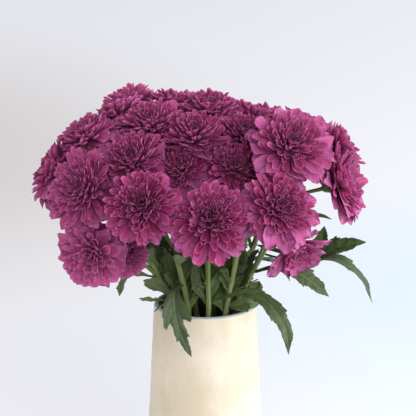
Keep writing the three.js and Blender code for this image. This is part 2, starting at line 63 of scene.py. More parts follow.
def jar_profile():
    """The (radius, height) line of the jar from the middle of its foot, up the outside, over the lip, which
    is a half round, and down the inside to the middle of its floor. Two sines make the throwing rings."""
    lip = JAR_WALL / 2
    turn = np.linspace(0, np.pi / 2, 7)
    foot_radius = JAR_RADII[0] - JAR_FOOT_ROUND * (1 - np.sin(turn))
    foot = np.stack([foot_radius, JAR_FOOT_ROUND * (1 - np.cos(turn))], 1)
    z = np.linspace(JAR_FOOT_ROUND, JAR_HEIGHT - lip, 60)[1:]
    painted_light_shares = np.clip((z - z[0]) / RING_FADE, 0, 1) * np.clip((z[-1] - z) / RING_FADE, 0, 1)
    rings = THROWING_RING * painted_light_shares * (np.sin(z / (3.1 * MM)) + 0.7 * np.sin(z / (7.3 * MM) + 1))
    outside = np.stack([jar_radius(z) + rings, z], 1)
    turn = np.linspace(0, np.pi, 13)[1:]
    top = np.stack([JAR_RADII[2] - lip + lip * np.cos(turn), JAR_HEIGHT - lip + lip * np.sin(turn)], 1)
    z = np.linspace(JAR_HEIGHT - lip, JAR_FLOOR + JAR_CORNER_ROUND, 30)[1:]
    inside = np.stack([jar_radius(z) - JAR_WALL, z], 1)
    turn = np.linspace(0, np.pi / 2, 6)[1:]
    corner_radius = jar_radius(JAR_FLOOR) - JAR_WALL - JAR_CORNER_ROUND + JAR_CORNER_ROUND * np.cos(turn)
    corner = np.stack([corner_radius, JAR_FLOOR + JAR_CORNER_ROUND * (1 - np.sin(turn))], 1)
    flat_foot = [[0, 0], [JAR_RADII[0] / 2, 0]]
    return np.concatenate([flat_foot, foot, outside, top, inside, corner, [[0, JAR_FLOOR]]])


def barrel_faces(rings, sides):
    """How rings of vertices are joined up: quads from ring to ring, and triangles from the first and the last
    ring to a middle vertex each. Vertex 0 is the first middle, and the last vertex is the other one."""
    here = 1 + np.arange(rings * sides).reshape(rings, sides)
    beside = np.roll(here, -1, 1)
    quads = np.stack([here[:-1], beside[:-1], beside[1:], here[1:]], 2).reshape(-1, 4)
    first = np.stack([np.zeros(sides, int), beside[0], here[0]], 1)
    last = np.stack([np.full(sides, rings * sides + 1), here[-1], beside[-1]], 1)
    return quads, np.concatenate([first, last])


def turned(profile, steps):
    """Turns a profile of (radius, height) round the z axis. Grid point (i, j) is profile point i at the angle
    360 j / steps degrees. The first and last profile points are on the axis and become one vertex each."""
    angle = np.linspace(0, 2 * np.pi, steps, endpoint=False)
    radius, height = profile[1:-1, :1], profile[1:-1, 1:]
    points = np.stack([radius * np.cos(angle), radius * np.sin(angle), np.repeat(height, steps, 1)], 2)
    points = np.concatenate([[[0, 0, profile[0, 1]]], points.reshape(-1, 3), [[0, 0, profile[-1, 1]]]])
    return points, *barrel_faces(len(radius), steps)


def new_piece(name, points, quads, triangles=(), uv=None, tint=None, border=None):
    """A smooth mesh object at the origin. uv and tint give two and four numbers for each corner of the quads
    and then of the triangles; an edge between two vertices of the border mask is sharp."""
    mesh = bpy.data.meshes.new(name)
    corners = np.concatenate([np.ravel(quads), np.ravel(triangles)]).astype(np.int32)
    sizes = np.concatenate([np.full(len(quads), 4), np.full(len(triangles), 3)])
    mesh.vertices.add(len(points))
    mesh.vertices.foreach_set("co", np.ravel(points).astype(np.float32))
    mesh.loops.add(len(corners))
    mesh.loops.foreach_set("vertex_index", corners)
    mesh.polygons.add(len(sizes))
    mesh.polygons.foreach_set("loop_start", (np.cumsum(sizes) - sizes).astype(np.int32))
    mesh.update(calc_edges=True)
    mesh.shade_smooth()
    if uv is not None:
        mesh.uv_layers.new(name="UVMap").uv.foreach_set("vector", np.ravel(uv).astype(np.float32))
    if tint is not None:
        layer = mesh.attributes.new("tint", "FLOAT_COLOR", "CORNER")
        layer.data.foreach_set("color", np.ravel(tint).astype(np.float32))
    if border is not None:
        ends = np.empty(2 * len(mesh.edges), np.int32)
        mesh.edges.foreach_get("vertices", ends)
        sharp = mesh.attributes.new("sharp_edge", "BOOLEAN", "EDGE")
        sharp.data.foreach_set("value", border[ends].reshape(-1, 2).all(1))
    piece = bpy.data.objects.new(name, mesh)
    bpy.context.scene.collection.objects.link(piece)
    return piece


def new_material(name):
    """An empty material, its node tree and its Principled BSDF, joined to the output."""
    material = bpy.data.materials.new(name)
    material.use_nodes = True
    return material, material.node_tree, material.node_tree.nodes["Principled BSDF"]


def fill(tree, made, sockets):
    """Sets a node's sockets to plain values, and links them where the value is another node's output."""
    for key, value in sockets.items():
        if isinstance(value, bpy.types.NodeSocket):
            tree.links.new(value, made.inputs[key])
        else:
            made.inputs[key].default_value = value


def node(tree, kind, settings=None, sockets=None):
    """Adds a shader node with its settings and sockets."""
    made = tree.nodes.new("ShaderNode" + kind)
    for key, value in (settings or {}).items():
        setattr(made, key, value)
    fill(tree, made, sockets or {})
    return made


def blended(tree, factor, a, b):
    """The colour that lies between a and b by the factor: a + factor (b - a)."""
    return node(tree, "Mix", {"data_type": "RGBA"}, {0: factor, 6: a, 7: b}).outputs[2]


def reckoned(tree, operation, *values):
    """The output of a Math node for one or two values."""
    return node(tree, "Math", {"operation": operation}, dict(enumerate(values))).outputs[0]


def ramped(tree, value, low, high, to_low=0.0, to_high=1.0):
    """Value carried smoothly from the range low..high to the range to_low..to_high, and held outside it."""
    sockets = {0: value, 1: low, 2: high, 3: to_low, 4: to_high}
    return node(tree, "MapRange", {"interpolation_type": "SMOOTHSTEP"}, sockets).outputs[0]


def colour(red, green, blue):
    """An sRGB colour in 0 to 255 as a linear one."""
    c = np.array([red, green, blue]) / 255
    return (*np.where(c <= 0.04045, c / 12.92, ((c + 0.055) / 1.055) ** 2.4), 1.0)


def noise(tree, vector, scale, detail=2.0, roughness=0.5):
    """The value of a noise texture."""
    return node(tree, "TexNoise", None, {
        "Vector": vector, "Scale": scale, "Detail": detail, "Roughness": roughness}).outputs[0]


def bumped(tree, strength, distance, height):
    """The surface's normal, tilted as if its skin rose by the distance where the height is 1."""
    return node(tree, "Bump", None, {"Strength": strength, "Distance": distance, "Height": height}).outputs[0]


glaze, tree, shader = new_material("cream stoneware glaze")
place = node(tree, "TexCoord").outputs["Object"]
streaks = node(tree, "Mapping", None, {0: place, 3: (1.0, 1.0, 0.6)}).outputs[0]
cloud = noise(tree, streaks, 26.0, 4.0, 0.6)
mottle = noise(tree, place, 95.0, 3.0, 0.55)
speck = noise(tree, place, 900.0, 1.0)
height = node(tree, "SeparateXYZ", None, {0: place}).outputs[2]
cream = blended(tree, ramped(tree, cloud, 0.35, 0.68), colour(204, 195, 177), colour(192, 180, 156))
cream = blended(tree, ramped(tree, mottle, 0.52, 0.75, 0.0, 0.35), cream, colour(182, 168, 144))
cream = blended(tree, ramped(tree, speck, 0.68, 0.78, 0.0, 0.3), cream, colour(150, 125, 98))
lip_line = reckoned(tree, "ADD", height, reckoned(tree, "MULTIPLY", mottle, 1.6 * MM))
on_lip = ramped(tree, lip_line, JAR_HEIGHT - 1.0 * MM, JAR_HEIGHT + 0.3 * MM)
cream = blended(tree, on_lip, cream, colour(150, 160, 162))
# inside: where the distance from the axis, with the taper of the jar made good, falls short of the wall
level_place = node(tree, "VectorMath", {"operation": "MULTIPLY"}, {0: place, 1: (1, 1, 0)}).outputs[0]
distance = node(tree, "VectorMath", {"operation": "LENGTH"}, {0: level_place}).outputs[1]
taper = (JAR_RADII[0] - JAR_RADII[2]) / JAR_HEIGHT
distance = reckoned(tree, "ADD", distance, reckoned(tree, "MULTIPLY", height, taper))
into_wall = reckoned(tree, "SUBTRACT", distance, JAR_RADII[0] - JAR_WALL)
in_jar = ramped(tree, into_wall, 0.0, 3.0 * MM, 1.0, 0.0)
# painted shade: the inside wall is coloured a dark grey-green, standing in for the shade inside the jar
cream = blended(tree, in_jar, cream, blended(tree, mottle, colour(40, 42, 36), colour(62, 64, 56)))
skin = reckoned(tree, "ADD", reckoned(tree, "MULTIPLY", noise(tree, place, 420.0, 2.0), 0.5), mottle)
fill(tree, shader, {
    "Base Color": cream,
    "Roughness": ramped(tree, cloud, 0.3, 0.7, 0.42, 0.56),
    "Coat Weight": 0.12,
    "Coat Roughness": 0.25,
    "Normal": bumped(tree, 0.12, 0.6 * MM, skin),
})

points, quads, triangles = turned(jar_profile(), JAR_STEPS)
jar = new_piece("stoneware_jar", points, quads, triangles)
jar.data.materials.append(glaze)
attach(jar, "root")
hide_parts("jar")


# ---------------------------------------------------------------- the water
# Clear water stands in the jar to about two thirds of its height, and the stems pass through it.
# The CAD plug with its holes for the stems stays, and gets the finish of still, faintly tinted water.

still_water, tree, shader = new_material("still water")
place = node(tree, "TexCoord").outputs["Object"]
fill(tree, shader, {
    "Base Color": blended(tree, noise(tree, place, 30.0), colour(226, 238, 230), colour(205, 222, 202)),
    "Roughness": 0.02,
    "IOR": 1.333,
    "Transmission Weight": 1.0,
    "Normal": bumped(tree, 0.1, 0.5 * MM, noise(tree, place, 70.0)),
})
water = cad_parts["water"]
water.data.materials.clear()
water.data.materials.append(still_water)


# ---------------------------------------------------------------- the leafy stems
# Eleven cut stems stand in the jar, turn past each other and part above the rim into side shoots, each of
# which ends in a green cup of pointed bracts under a flower head. Toothed, soft-skinned leaves grow on them.

# In this section and the next, sizes and places are in millimetres until a piece is made.

# Where each head sits and faces: x, y, z of its centre, azimuth and elevation of its face, its radius, how
# far it is open and the stem that carries it.
HEADS = [
    (4, -85, 294, -88, 30, 35, 1, "front"),
    (-18, -44, 327, -112, 35, 26, 1, "front"),
    (-8, -30, 349, -95, 60, 32, 1, "front"),
    (58, -74, 301, -72, 34, 31, 1, "front_right"),
    (23, -42, 327, -84, 36, 28, 1, "front_right"),
    (31, -18, 349, -70, 60, 28, 1, "front_right"),
    (67, -46, 345, -68, 44, 35, 1, "right_front"),
    (108, -18, 308, -18, 23, 37, 0.84, "right_front"),
    (73, -42, 264, -60, -38, 24, 0.66, "right_front"),
    (112, 12, 330, -6, 34, 33, 1, "right"),
    (84, 14, 346, 0, 58, 33, 1, "right"),
    (39, 26, 355, 25, 68, 29, 1, "right"),
    (95, 55, 320, 32, 32, 31, 1, "back_right"),
    (55, 60, 345, 50, 55, 30, 1, "back_right"),
    (60, 98, 310, 60, 22, 32, 1, "back_right"),
    (15, 62, 355, 80, 62, 29, 1, "back"),
    (8, 106, 322, 88, 28, 32, 1, "back"),
    (5, 6, 365, -90, 74, 29, 1, "back"),
    (-50, 98, 326, 116, 28, 32, 1, "back_left"),
    (-66, 58, 363, 120, 58, 31, 1.05, "back_left"),
    (-25, 44, 364, 95, 72, 29, 1, "back_left"),
    (-98, 60, 328, 148, 28, 31, 1, "left_back"),
    (-118, 25, 298, 168, 8, 30, 1, "left_back"),
    (-73, 22, 358, 165, 60, 30, 1, "left_back"),
    (-123, -8, 318, -168, 28, 33, 1, "left"),
    (-97, -11, 346, -150, 54, 30, 1, "left"),
    (-44, -14, 356, -110, 64, 31, 1, "left"),
    (-48, -78, 305, -98, 28, 34, 1, "left_front"),
    (-58, -46, 332, -108, 48, 32, 1, "left_front"),
    (-96, -55, 311, -120, 28, 36, 1, "far_left"),
    (-89, -62, 262, -115, -4, 32, 1, "far_left"),
    (-63, -46, 255, -62, -16, 21, 1, "far_left"),
]
# Each stem's azimuth where it passes the rim, and the x, y, z of the neck where its shoots part.
STEMS = {
    "front": (-84, (2, -34, 262)),
    "front_right": (-52, (30, -26, 266)),
    "right_front": (-20, (55, -14, 260)),
    "right": (12, (50, 12, 272)),
    "back_right": (44, (44, 42, 266)),
    "back": (78, (6, 46, 272)),
    "back_left": (112, (-26, 46, 270)),
    "left_back": (145, (-50, 28, 262)),
    "left": (176, (-54, 2, 268)),
    "far_left": (-152, (-52, -16, 252)),
    "left_front": (-118, (-26, -36, 260)),
}
# The leaves on the side that is seen first: stem, height, the points that the rib passes up to the tip,
# width, the share that is bare stalk, the roll about the rib in degrees, and the outline.
SHOWN_LEAVES = [
    ("front", 208,
     [(16, -34, 215), (30, -38, 220), (44, -44, 219), (56, -53, 211), (66, -60, 196), (69, -62, 174)],
     17, 0.22, 40, "toothed"),
    ("left_front", 224, [(-25, -43, 222), (-25, -53, 209), (-20, -58, 192), (-11, -61, 172)],
     25, 0.16, 6, "lobed"),
    ("right_front", 228, [(60, -27, 239), (80, -32, 234), (104, -36, 216)], 19, 0.3, 40, "toothed"),
    ("right", 248, [(70, -3, 245), (92, -11, 244), (114, -16, 254), (136, -20, 259)],
     21, 0.44, 40, "toothed"),
    ("right", 242,
     [(70, -3, 239), (94, -9, 241), (112, -11, 241), (125, -12, 234), (136, -12, 221), (144, -12, 202)],
     14, 0.26, 24, "toothed"),
    ("right", 254, [(70, 2, 250), (91, -6, 247), (99, -12, 258), (101, -12, 271)], 20, 0.46, 82, "broad"),
    ("far_left", 206, [(-45, -25, 209), (-56, -29, 212)], 11, 0.4, 40, "toothed"),
    ("far_left", 210, [(-41, -23, 221), (-52, -28, 228)], 19, 0.2, 50, "toothed"),
    ("far_left", 226, [(-57, -15, 229), (-77, -22, 230)], 18, 0.3, 40, "toothed"),
    ("left_front", 207, [(-31, -36, 211), (-43, -44, 205)], 7, 0.3, 20, "toothed"),
    ("left", 218, [(-22, -5, 240), (-8, -8, 256)], 32, 0.2, 58, "lobed"),
    ("right", 222, [(22, 0, 242), (8, -2, 256)], 32, 0.2, -60, "lobed"),
    ("front_right", 214, [(27, -13, 238), (34, -15, 254)], 22, 0.2, 55, "toothed"),
    ("front", 252, [(-6, -39, 248), (-7, -42, 238), (-4, -43, 225)], 10, 0.2, 0, "toothed"),
    ("front", 206, [(-5, -29, 220), (-11, -29, 238)], 13, 0.2, -60, "broad"),
    ("front_right", 216, [(35, -29, 224), (45, -32, 230)], 9, 0.4, 0, "broad"),
    ("left_back", 206, [(-32, 8, 232), (-34, 4, 254)], 28, 0.2, 50, "toothed"),
    ("back", 206, [(13, 15, 232), (20, 7, 254)], 32, 0.16, 0, "toothed"),
    ("back_left", 204, [(-14, 16, 228), (-18, 6, 256)], 30, 0.12, 0, "broad"),
    ("right", 204, [(36, 2, 228), (42, -2, 252)], 26, 0.12, 0, "broad"),
]
# The leaves round the other sides: stem, height, azimuth, length and width.
FILLING_LEAVES = [
    ("back_right", 222, 22, 64, 24),
    ("back_right", 244, 66, 54, 23),
    ("back_right", 210, 74, 66, 25),
    ("back", 216, 92, 76, 27),
    ("back", 240, 66, 50, 24),
    ("back_left", 222, 122, 62, 25),
    ("back_left", 246, 96, 46, 22),
    ("left_back", 216, 150, 72, 25),
    ("left_back", 240, 126, 50, 23),
    ("left", 238, 164, 58, 24),
]
# A blade's outline as shares of its length and half width: places on the rib, the places on the edge that
# they are joined to, and how far out the edge is there.
LEAF_SHAPES = {
    "toothed": (
        [0, 0.14, 0.28, 0.42, 0.56, 0.72, 0.88],
        [0.02, 0.32, 0.3, 0.6, 0.58, 0.82, 0.84],
        [0.16, 0.82, 0.62, 1.0, 0.72, 0.62, 0.42],
    ),
    "lobed": (
        [0, 0.12, 0.24, 0.36, 0.5, 0.66, 0.84],
        [0.02, 0.3, 0.58, 0.44, 0.76, 0.7, 0.9],
        [0.14, 0.86, 1.0, 0.36, 0.5, 0.3, 0.22],
    ),
    "broad": ([0, 0.28, 0.54, 0.78], [0.02, 0.5, 0.52, 0.82], [0.16, 1.0, 0.78, 0.5]),
}
STEM_RADIUS, NECK_RADIUS, SHOOT_RADIUS = 2.7, 2.35, 1.6  # of the stalk in the jar, above it and of its shoots
STALK_RIDGE, STALK_RIDGES = 0.07, 6  # how far a stalk's ridges stand out, as a share of its radius
FOOT_OFFSET, MOUTH_OFFSET = 26, 29  # a stem's distance from the jar's axis, on the floor and at the rim
STEM_SPIRAL = 62  # how many degrees it goes round that axis on the way up
SHOOT_STEP = 13  # from one shoot's root down to the next
SEAT_DEPTH, CLEARANCE = 4, 0.35  # from a head's centre down to its underside, and between that and its cup
CALYX_HEIGHT = 7
YOUNG_LEAVES, UPPER_LEAVES = 5, 4  # on each stem, close to the rim and close under the heads
# Leaves that show in the mouth of the jar, behind the front stems, and before them one slip under the right
# heads, all given as the shown leaves are.
MOUTH_LEAVES = [
    ("right", 262, [(74, -6, 273), (88, -13, 280), (98, -14, 280.5), (107, -14, 277)], 5.5, 0.5, 75, "broad"),
    ("front_right", 204, [(28, -27, 206), (36, -28, 209), (46, -22, 205)], 20, 0.1, 52, "broad"),
    ("front_right", 207, [(19, -16, 222), (18, -14, 240), (22, -14, 256)], 20, 0.1, -10, "toothed"),
    ("right_front", 205, [(33, -14, 218), (38, -10, 236), (46, -8, 250)], 20, 0.1, 20, "broad"),
    ("right_front", 202, [(34, -14, 206), (42, -12, 214), (47, -4, 220)], 18, 0.1, 45, "toothed"),
    ("front", 203, [(-4, -20, 214), (-14, -20, 226), (-24, -18, 236)], 20, 0.1, -20, "broad"),
    ("front", 205, [(6, -22, 220), (6, -20, 238), (2, -18, 254)], 18, 0.1, 10, "broad"),
    ("left_front", 203, [(-22, -20, 218), (-30, -16, 236), (-34, -14, 252)], 24, 0.1, -15, "toothed"),
    ("left_front", 206, [(-12, -18, 214), (-10, -16, 230), (-12, -14, 246)], 22, 0.1, 12, "broad"),
    ("left", 204, [(-36, -6, 212), (-40, -8, 226), (-40, -12, 240)], 22, 0.1, 0, "broad"),
    ("back", 202, [(4, 12, 216), (-2, 8, 236), (-4, 6, 256)], 30, 0.1, 0, "broad"),
]


def direction(azimuth, elevation):
    """The unit vector at an azimuth from +X towards +Y and an elevation, both in degrees."""
    a, e = np.radians(azimuth), np.radians(elevation)
    return np.array([np.cos(a) * np.cos(e), np.sin(a) * np.cos(e), np.sin(e)])


def unit(vectors):
    """The vectors divided by their lengths."""
    return vectors / np.linalg.norm(vectors, axis=-1, keepdims=True)


def smooth_line(through, count=400):
    """A centripetal Catmull-Rom curve through the points: between two points it is the cubic whose end slopes
    come from the neighbours, spaced by the square root of their distance. Evenly timed, not evenly long."""
    p = np.array(through, float)
    p = np.concatenate([[2 * p[0] - p[1]], p, [2 * p[-1] - p[-2]]])
    t = np.linspace(0, len(p) - 3, count)
    i = np.minimum(t.astype(int), len(p) - 4)
    w = (t - i)[:, None]
    a, b, c, d = p[i], p[i + 1], p[i + 2], p[i + 3]
    steps = ((a, b), (b, c), (c, d))
    before, here, after = (np.sqrt(np.linalg.norm(q - o, axis=1, keepdims=True)) for o, q in steps)
    start = ((b - a) / before - (c - a) / (before + here) + (c - b) / here) * here
    end = ((c - b) / here - (d - b) / (here + after) + (d - c) / after) * here
    return b + start * w + (3 * (c - b) - 2 * start - end) * w**2 + (2 * (b - c) + start + end) * w**3


def along_line(line, shares):
    """The points and unit tangents of a dense line at shares of its length."""
    step = np.linalg.norm(np.diff(line, axis=0), axis=1)
    length = np.concatenate([[0], np.cumsum(step)]) / step.sum()
    tangent = unit(np.gradient(line, axis=0))
    at = [np.stack([np.interp(shares, length, v[:, k]) for k in range(3)], -1) for v in (line, tangent)]
    return at[0], unit(at[1])


def stalk(line, radius, rings, sides):
    """A round, ridged stalk along a line: ring i is a circle of the radius there, square to the line, whose
    radius waves by the ridge share as it goes round. Both ends close to a middle vertex. Its uv runs round
    and along."""
    shares = np.linspace(0, 1, rings)
    at, tangent = along_line(line, shares)
    across = np.eye(3)[np.argmin(np.abs(tangent.mean(0)))]
    side = unit(np.cross(tangent, across))
    other = np.cross(tangent, side)
    turn = np.linspace(0, 2 * np.pi, sides, endpoint=False)
    r = np.broadcast_to(radius, (rings,))[:, None] * (1 + STALK_RIDGE * np.cos(STALK_RIDGES * turn))
    spokes = np.cos(turn)[:, None] * side[:, None] + np.sin(turn)[:, None] * other[:, None]
    body = at[:, None] + r[..., None] * spokes
    points = np.concatenate([at[:1], body.reshape(-1, 3), at[-1:]])
    uv = np.stack(np.broadcast_arrays(turn / (2 * np.pi), shares[:, None]), -1).reshape(-1, 2)
    return points, *barrel_faces(rings, sides), np.concatenate([[[0, 0]], uv, [[0, 1]]])


def sheet_layout(rows, columns):
    """How a thin closed sheet is joined up: a front grid of rows by columns of vertices, and a back grid that
    shares the front's border and has its own vertices inside it. Gives the quads with the front ones first,
    the mask of border vertices, and the grid place of every vertex."""
    front = np.arange(rows * columns).reshape(rows, columns)
    back = front.copy()
    back[1:-1, 1:-1] = rows * columns + np.arange((rows - 2) * (columns - 2)).reshape(rows - 2, columns - 2)

    def faces(grid):
        """The quads between each two rows and columns of vertices."""
        return np.stack([grid[:-1, :-1], grid[:-1, 1:], grid[1:, 1:], grid[1:, :-1]], 2).reshape(-1, 4)

    border = np.zeros(rows * columns + (rows - 2) * (columns - 2), bool)
    border[front[[0, -1]]] = True
    border[front[:, [0, -1]]] = True
    grid = np.concatenate([front.ravel(), front[1:-1, 1:-1].ravel()])
    return np.concatenate([faces(front), faces(back)[:, ::-1]]), border, grid


def sheets(front, back, layout, u, v, tints):
    """Many sheets of one layout as one mesh. front and back hold each sheet's grids of points, u and v are
    the places along and across, and tints has three numbers for each sheet. The tint's fourth number is 1 on
    backs. The uv runs across a sheet from 0 to 1, and along it from foot to tip."""
    quads, border, grid = layout
    count, cells = len(front), front.shape[1] * front.shape[2]
    flat, behind = front.reshape(count, cells, 3), back.reshape(count, cells, 3)
    points = np.concatenate([flat, behind[:, grid[cells:]]], 1)
    faces = (quads + (np.arange(count) * points.shape[1])[:, None, None]).reshape(-1, 4)
    uv = np.stack(np.broadcast_arrays(0.5 + 0.5 * v[None, :], u[:, None]), -1).reshape(-1, 2)[grid[quads]]
    reverse = np.repeat([0.0, 1.0], len(quads) // 2)
    tint = np.empty((count, len(quads), 4, 4))
    tint[..., :3] = tints[:, None, None, :]
    tint[..., 3] = reverse[None, :, None]
    return (points.reshape(-1, 3), faces, np.broadcast_to(uv, (count, *uv.shape)).reshape(-1, 2),
            tint.reshape(-1, 4), np.tile(border, count))


def head_frame(azimuth, elevation):
    """Two vectors across a head and the one that it faces along, as the rows of a matrix."""
    axis = direction(azimuth, elevation)
    across = unit(np.cross([0, 0, 1], axis))
    return np.stack([across, np.cross(axis, across), axis])


# A leaf's rows run from 0 at its foot over 1, where the blade starts, to LEAF_TIP.
LEAF_TIP = 8
LEAF_ROWS = np.concatenate([np.linspace(0, 1, 5)[:-1], np.linspace(1, LEAF_TIP, 61)])
LEAF_ACROSS = np.array([-1, -0.8, -0.55, -0.28, -0.07, 0.07, 0.28, 0.55, 0.8, 1])
LEAF_LAYOUT = sheet_layout(len(LEAF_ROWS), len(LEAF_ACROSS))
LEAF_TEETH = 15  # fine ones on each side
LEAF_TROUGH = np.tan(np.radians(14))  # how steeply both halves rise from the rib


def leaf(foot, through, width, bare, roll, shape, rng):
    """A leaf as a thin closed sheet. Row t of the grid joins a place on the rib to the place on the edge that
    the outline gives for t, with fine teeth added; both halves rise from the rib, the skin swells between the
    side veins, and the margin waves a little."""
    through = np.array([foot, *through], float)
    line = smooth_line(through)
    run = through[-1] - through[0]
    level = unit(np.array([-run[1], run[0], 0]))

    ribs, edges, outs = LEAF_SHAPES[shape]
    stalk_width = 0.08 * width + 0.3
    blade = lambda shares: [bare + (1 - bare) * s for s in shares]
    last = len(ribs) + 1
    knots = np.interp(np.arange(last + 1), [0, 1, last], [0, 1, LEAF_TIP])
    rib = np.interp(LEAF_ROWS, knots, [0, *blade(ribs), 1])
    edge = np.interp(LEAF_ROWS, knots, [0, *blade(edges), 1])
    out = np.interp(LEAF_ROWS, knots, [stalk_width, stalk_width, *[o * width / 2 for o in outs[1:]], 0.12])
    # the corners of the outline are softened by a weighted mean over eleven rows before the teeth are cut
    soften = lambda values: np.convolve(np.pad(values, 5, "edge"), np.hanning(13)[1:-1] / 6, "valid")
    in_blade = np.clip(LEAF_ROWS - 1, 0, 1) * np.clip(LEAF_TIP - LEAF_ROWS, 0, 1)
    tooth = ((LEAF_ROWS - 1) * LEAF_TEETH / (LEAF_TIP - 1) + 0.01) % 1
    out = soften(out) * (1 + in_blade * 0.16 * (tooth - 0.5))
    edge = soften(edge) + in_blade * (1 - bare) * 0.015 * (tooth - 0.5)

    c = np.abs(LEAF_ACROSS)[None, :]
    at, tangent = along_line(line, rib[:, None] + (edge - rib)[:, None] * c)
    side = unit(level - (tangent @ level)[..., None] * tangent)
    spin = np.radians(roll + rng.uniform(-4, 4))
    side = side * np.cos(spin) + np.cross(tangent, side) * np.sin(spin)
    face = np.cross(tangent, side)
    phase = rng.uniform(0, 6.28, 2)[0]
    wave = 0.05 * width * np.sin(LEAF_ROWS[:, None] * 2.1 + phase + 2.4 * np.sign(LEAF_ACROSS)) * c**2
    quilt = 0.018 * width * np.sin(np.pi * c) * np.abs(np.sin(np.pi * (LEAF_ROWS[:, None] + 0.5)))
    lift = LEAF_TROUGH * out[:, None] * c * (1.2 - 0.2 * c) * np.clip(in_blade * 4, 0, 1)[:, None]
    lift = lift + (wave + quilt) * in_blade[:, None]
    middle = at + side * (out[:, None] * LEAF_ACROSS)[..., None] + face * lift[..., None]

    # the skin is thinner towards the tip, and on the back the rib stands out as a ridge
    taper = np.interp(LEAF_ROWS, [0, 1, 2, LEAF_TIP - 1, LEAF_TIP], [1, 1, 0.8, 0.4, 0.05])[:, None]
    thick = 0.22 * np.clip((1 - c) * 6, 0, 1) * np.clip(taper * 2, 0, 1)
    ridge = 0.75 * taper * np.exp(-((LEAF_ACROSS / 0.16) ** 2))
    front = middle + face * (thick * (1 - 0.5 * (c < 0.1)))[..., None]
    back = middle - face * (thick + ridge)[..., None]
    return front, back


CALYX_LINE = np.array([
    (0, -CALYX_HEIGHT), (1.7, -CALYX_HEIGHT), (2.6, -6.6), (3.3, -5.4), (4.2, -3.4), (4.9, -1.4), (5.1, -0.2),
    (4.6, 0), (0, 0)], float)  # the cup's (radius, height), with its brim at 0
BRACT_STARTS, BRACTS_IN_RING = [-6.4, -5.0, -3.6], 11  # how high the rings start, and how many each holds
BRACT_LENGTH, BRACT_HALF_WIDTH = 4.6, 1.05
BRACT_TURN = 2.39996  # radians from one bract to the next: the golden angle
BRACT_ROWS, BRACT_ACROSS = np.array([0, 0.35, 0.7, 1.0]), np.array([-1, -0.4, 0.4, 1])
BRACT_LAYOUT = sheet_layout(len(BRACT_ROWS), len(BRACT_ACROSS))


def bracts(rng):
    """The pointed scales round a cup, in three rings. A scale follows the cup's side from low to high,
    narrows to its tip as the root of what is left of its length, and its tip stands off by up to 0.7."""
    start = np.repeat(BRACT_STARTS, BRACTS_IN_RING)[:, None, None]
    count = len(start)
    turn = (np.arange(count) * BRACT_TURN + rng.uniform(0, 0.25, count))[:, None, None]
    u = BRACT_ROWS[None, :, None]
    v = BRACT_ACROSS[None, None, :]
    z = start + BRACT_LENGTH * u * rng.uniform(0.85, 1.1, count)[:, None, None]
    r = np.interp(z, CALYX_LINE[1:7, 1], CALYX_LINE[1:7, 0]) + 0.12
    r = r + 0.6 * u**2 * rng.uniform(0.4, 1, count)[:, None, None]
    half = BRACT_HALF_WIDTH * np.sqrt(np.clip(1.04 - u, 0, 1)) * np.ones_like(v)
    angle = turn + half * v / np.maximum(r, 1)
    at = lambda radius: np.stack(np.broadcast_arrays(radius * np.cos(angle), radius * np.sin(angle), z), -1)
    return at(r + 0.22 * (1 - v**2) * (1 - u)), at(r - 0.12)


class Bundle:
    """Gathers parts of one piece: points, quads, triangles, and the corners' uv and tint."""

    def __init__(self):
        self.points, self.quads, self.triangles, self.border = [], [], [], []
        self.quad_uv, self.triangle_uv, self.quad_tint, self.triangle_tint = [], [], [], []
        self.count = 0

    def add(self, points, quads, uv, tint, triangles=None, triangle_uv=None, triangle_tint=None, border=None):
        """Adds a part, with uv and tint for each corner, and counts its vertices on from those before it."""
        self.points.append(points)
        self.quads.append(np.asarray(quads) + self.count)
        self.quad_uv.append(uv)
        self.quad_tint.append(tint)
        if triangles is not None:
            self.triangles.append(np.asarray(triangles) + self.count)
            self.triangle_uv.append(triangle_uv)
            self.triangle_tint.append(triangle_tint)
        self.border.append(np.zeros(len(points), bool) if border is None else border)
        self.count += len(points)

    def add_sheets(self, front, back, layout, u, v, tints):
        """Adds thin closed sheets of one layout."""
        points, faces, uv, tint, border = sheets(front, back, layout, u, v, tints)
        self.add(points, faces, uv, tint, border=border)

    def add_round(self, points, quads, triangles, uv, tint):
        """Adds a turned part or a stalk, with uv for each vertex and a single tint."""
        tint = np.array(tint, float)
        self.add(points, quads, uv[quads].reshape(-1, 2), np.tile(tint, (quads.size, 1)), triangles,
                 uv[triangles].reshape(-1, 2), np.tile(tint, (triangles.size, 1)))

    def piece(self, name):
        """Makes the gathered parts one object, in metres."""
        points, border = np.concatenate(self.points) * MM, np.concatenate(self.border)
        quads, triangles = np.concatenate(self.quads), np.concatenate(self.triangles)
        uv = np.concatenate(self.quad_uv + self.triangle_uv)
        tint = np.concatenate(self.quad_tint + self.triangle_tint)
        return new_piece(name, points, quads, triangles, uv, tint, border)


def stalk_tint(rng):
    """Red 0 for a stalk, and a random tone in green."""
    return 0, rng.uniform(0, 1), 0, 0


def first_as_high(line, z):
    """The first point of a rising line that is as high as z, or its last point where none is."""
    return line[np.argmax(line[:, 2] >= z)] if line[-1, 2] >= z else line[-1]


def bent_rib(foot, azimuth, elevations, length):
    """Where three steps of a third of the length end, at one azimuth and at the elevations in degrees."""
    steps = [direction(azimuth, elevation) * length / 3 for elevation in elevations]
    return foot + np.cumsum(steps, axis=0)
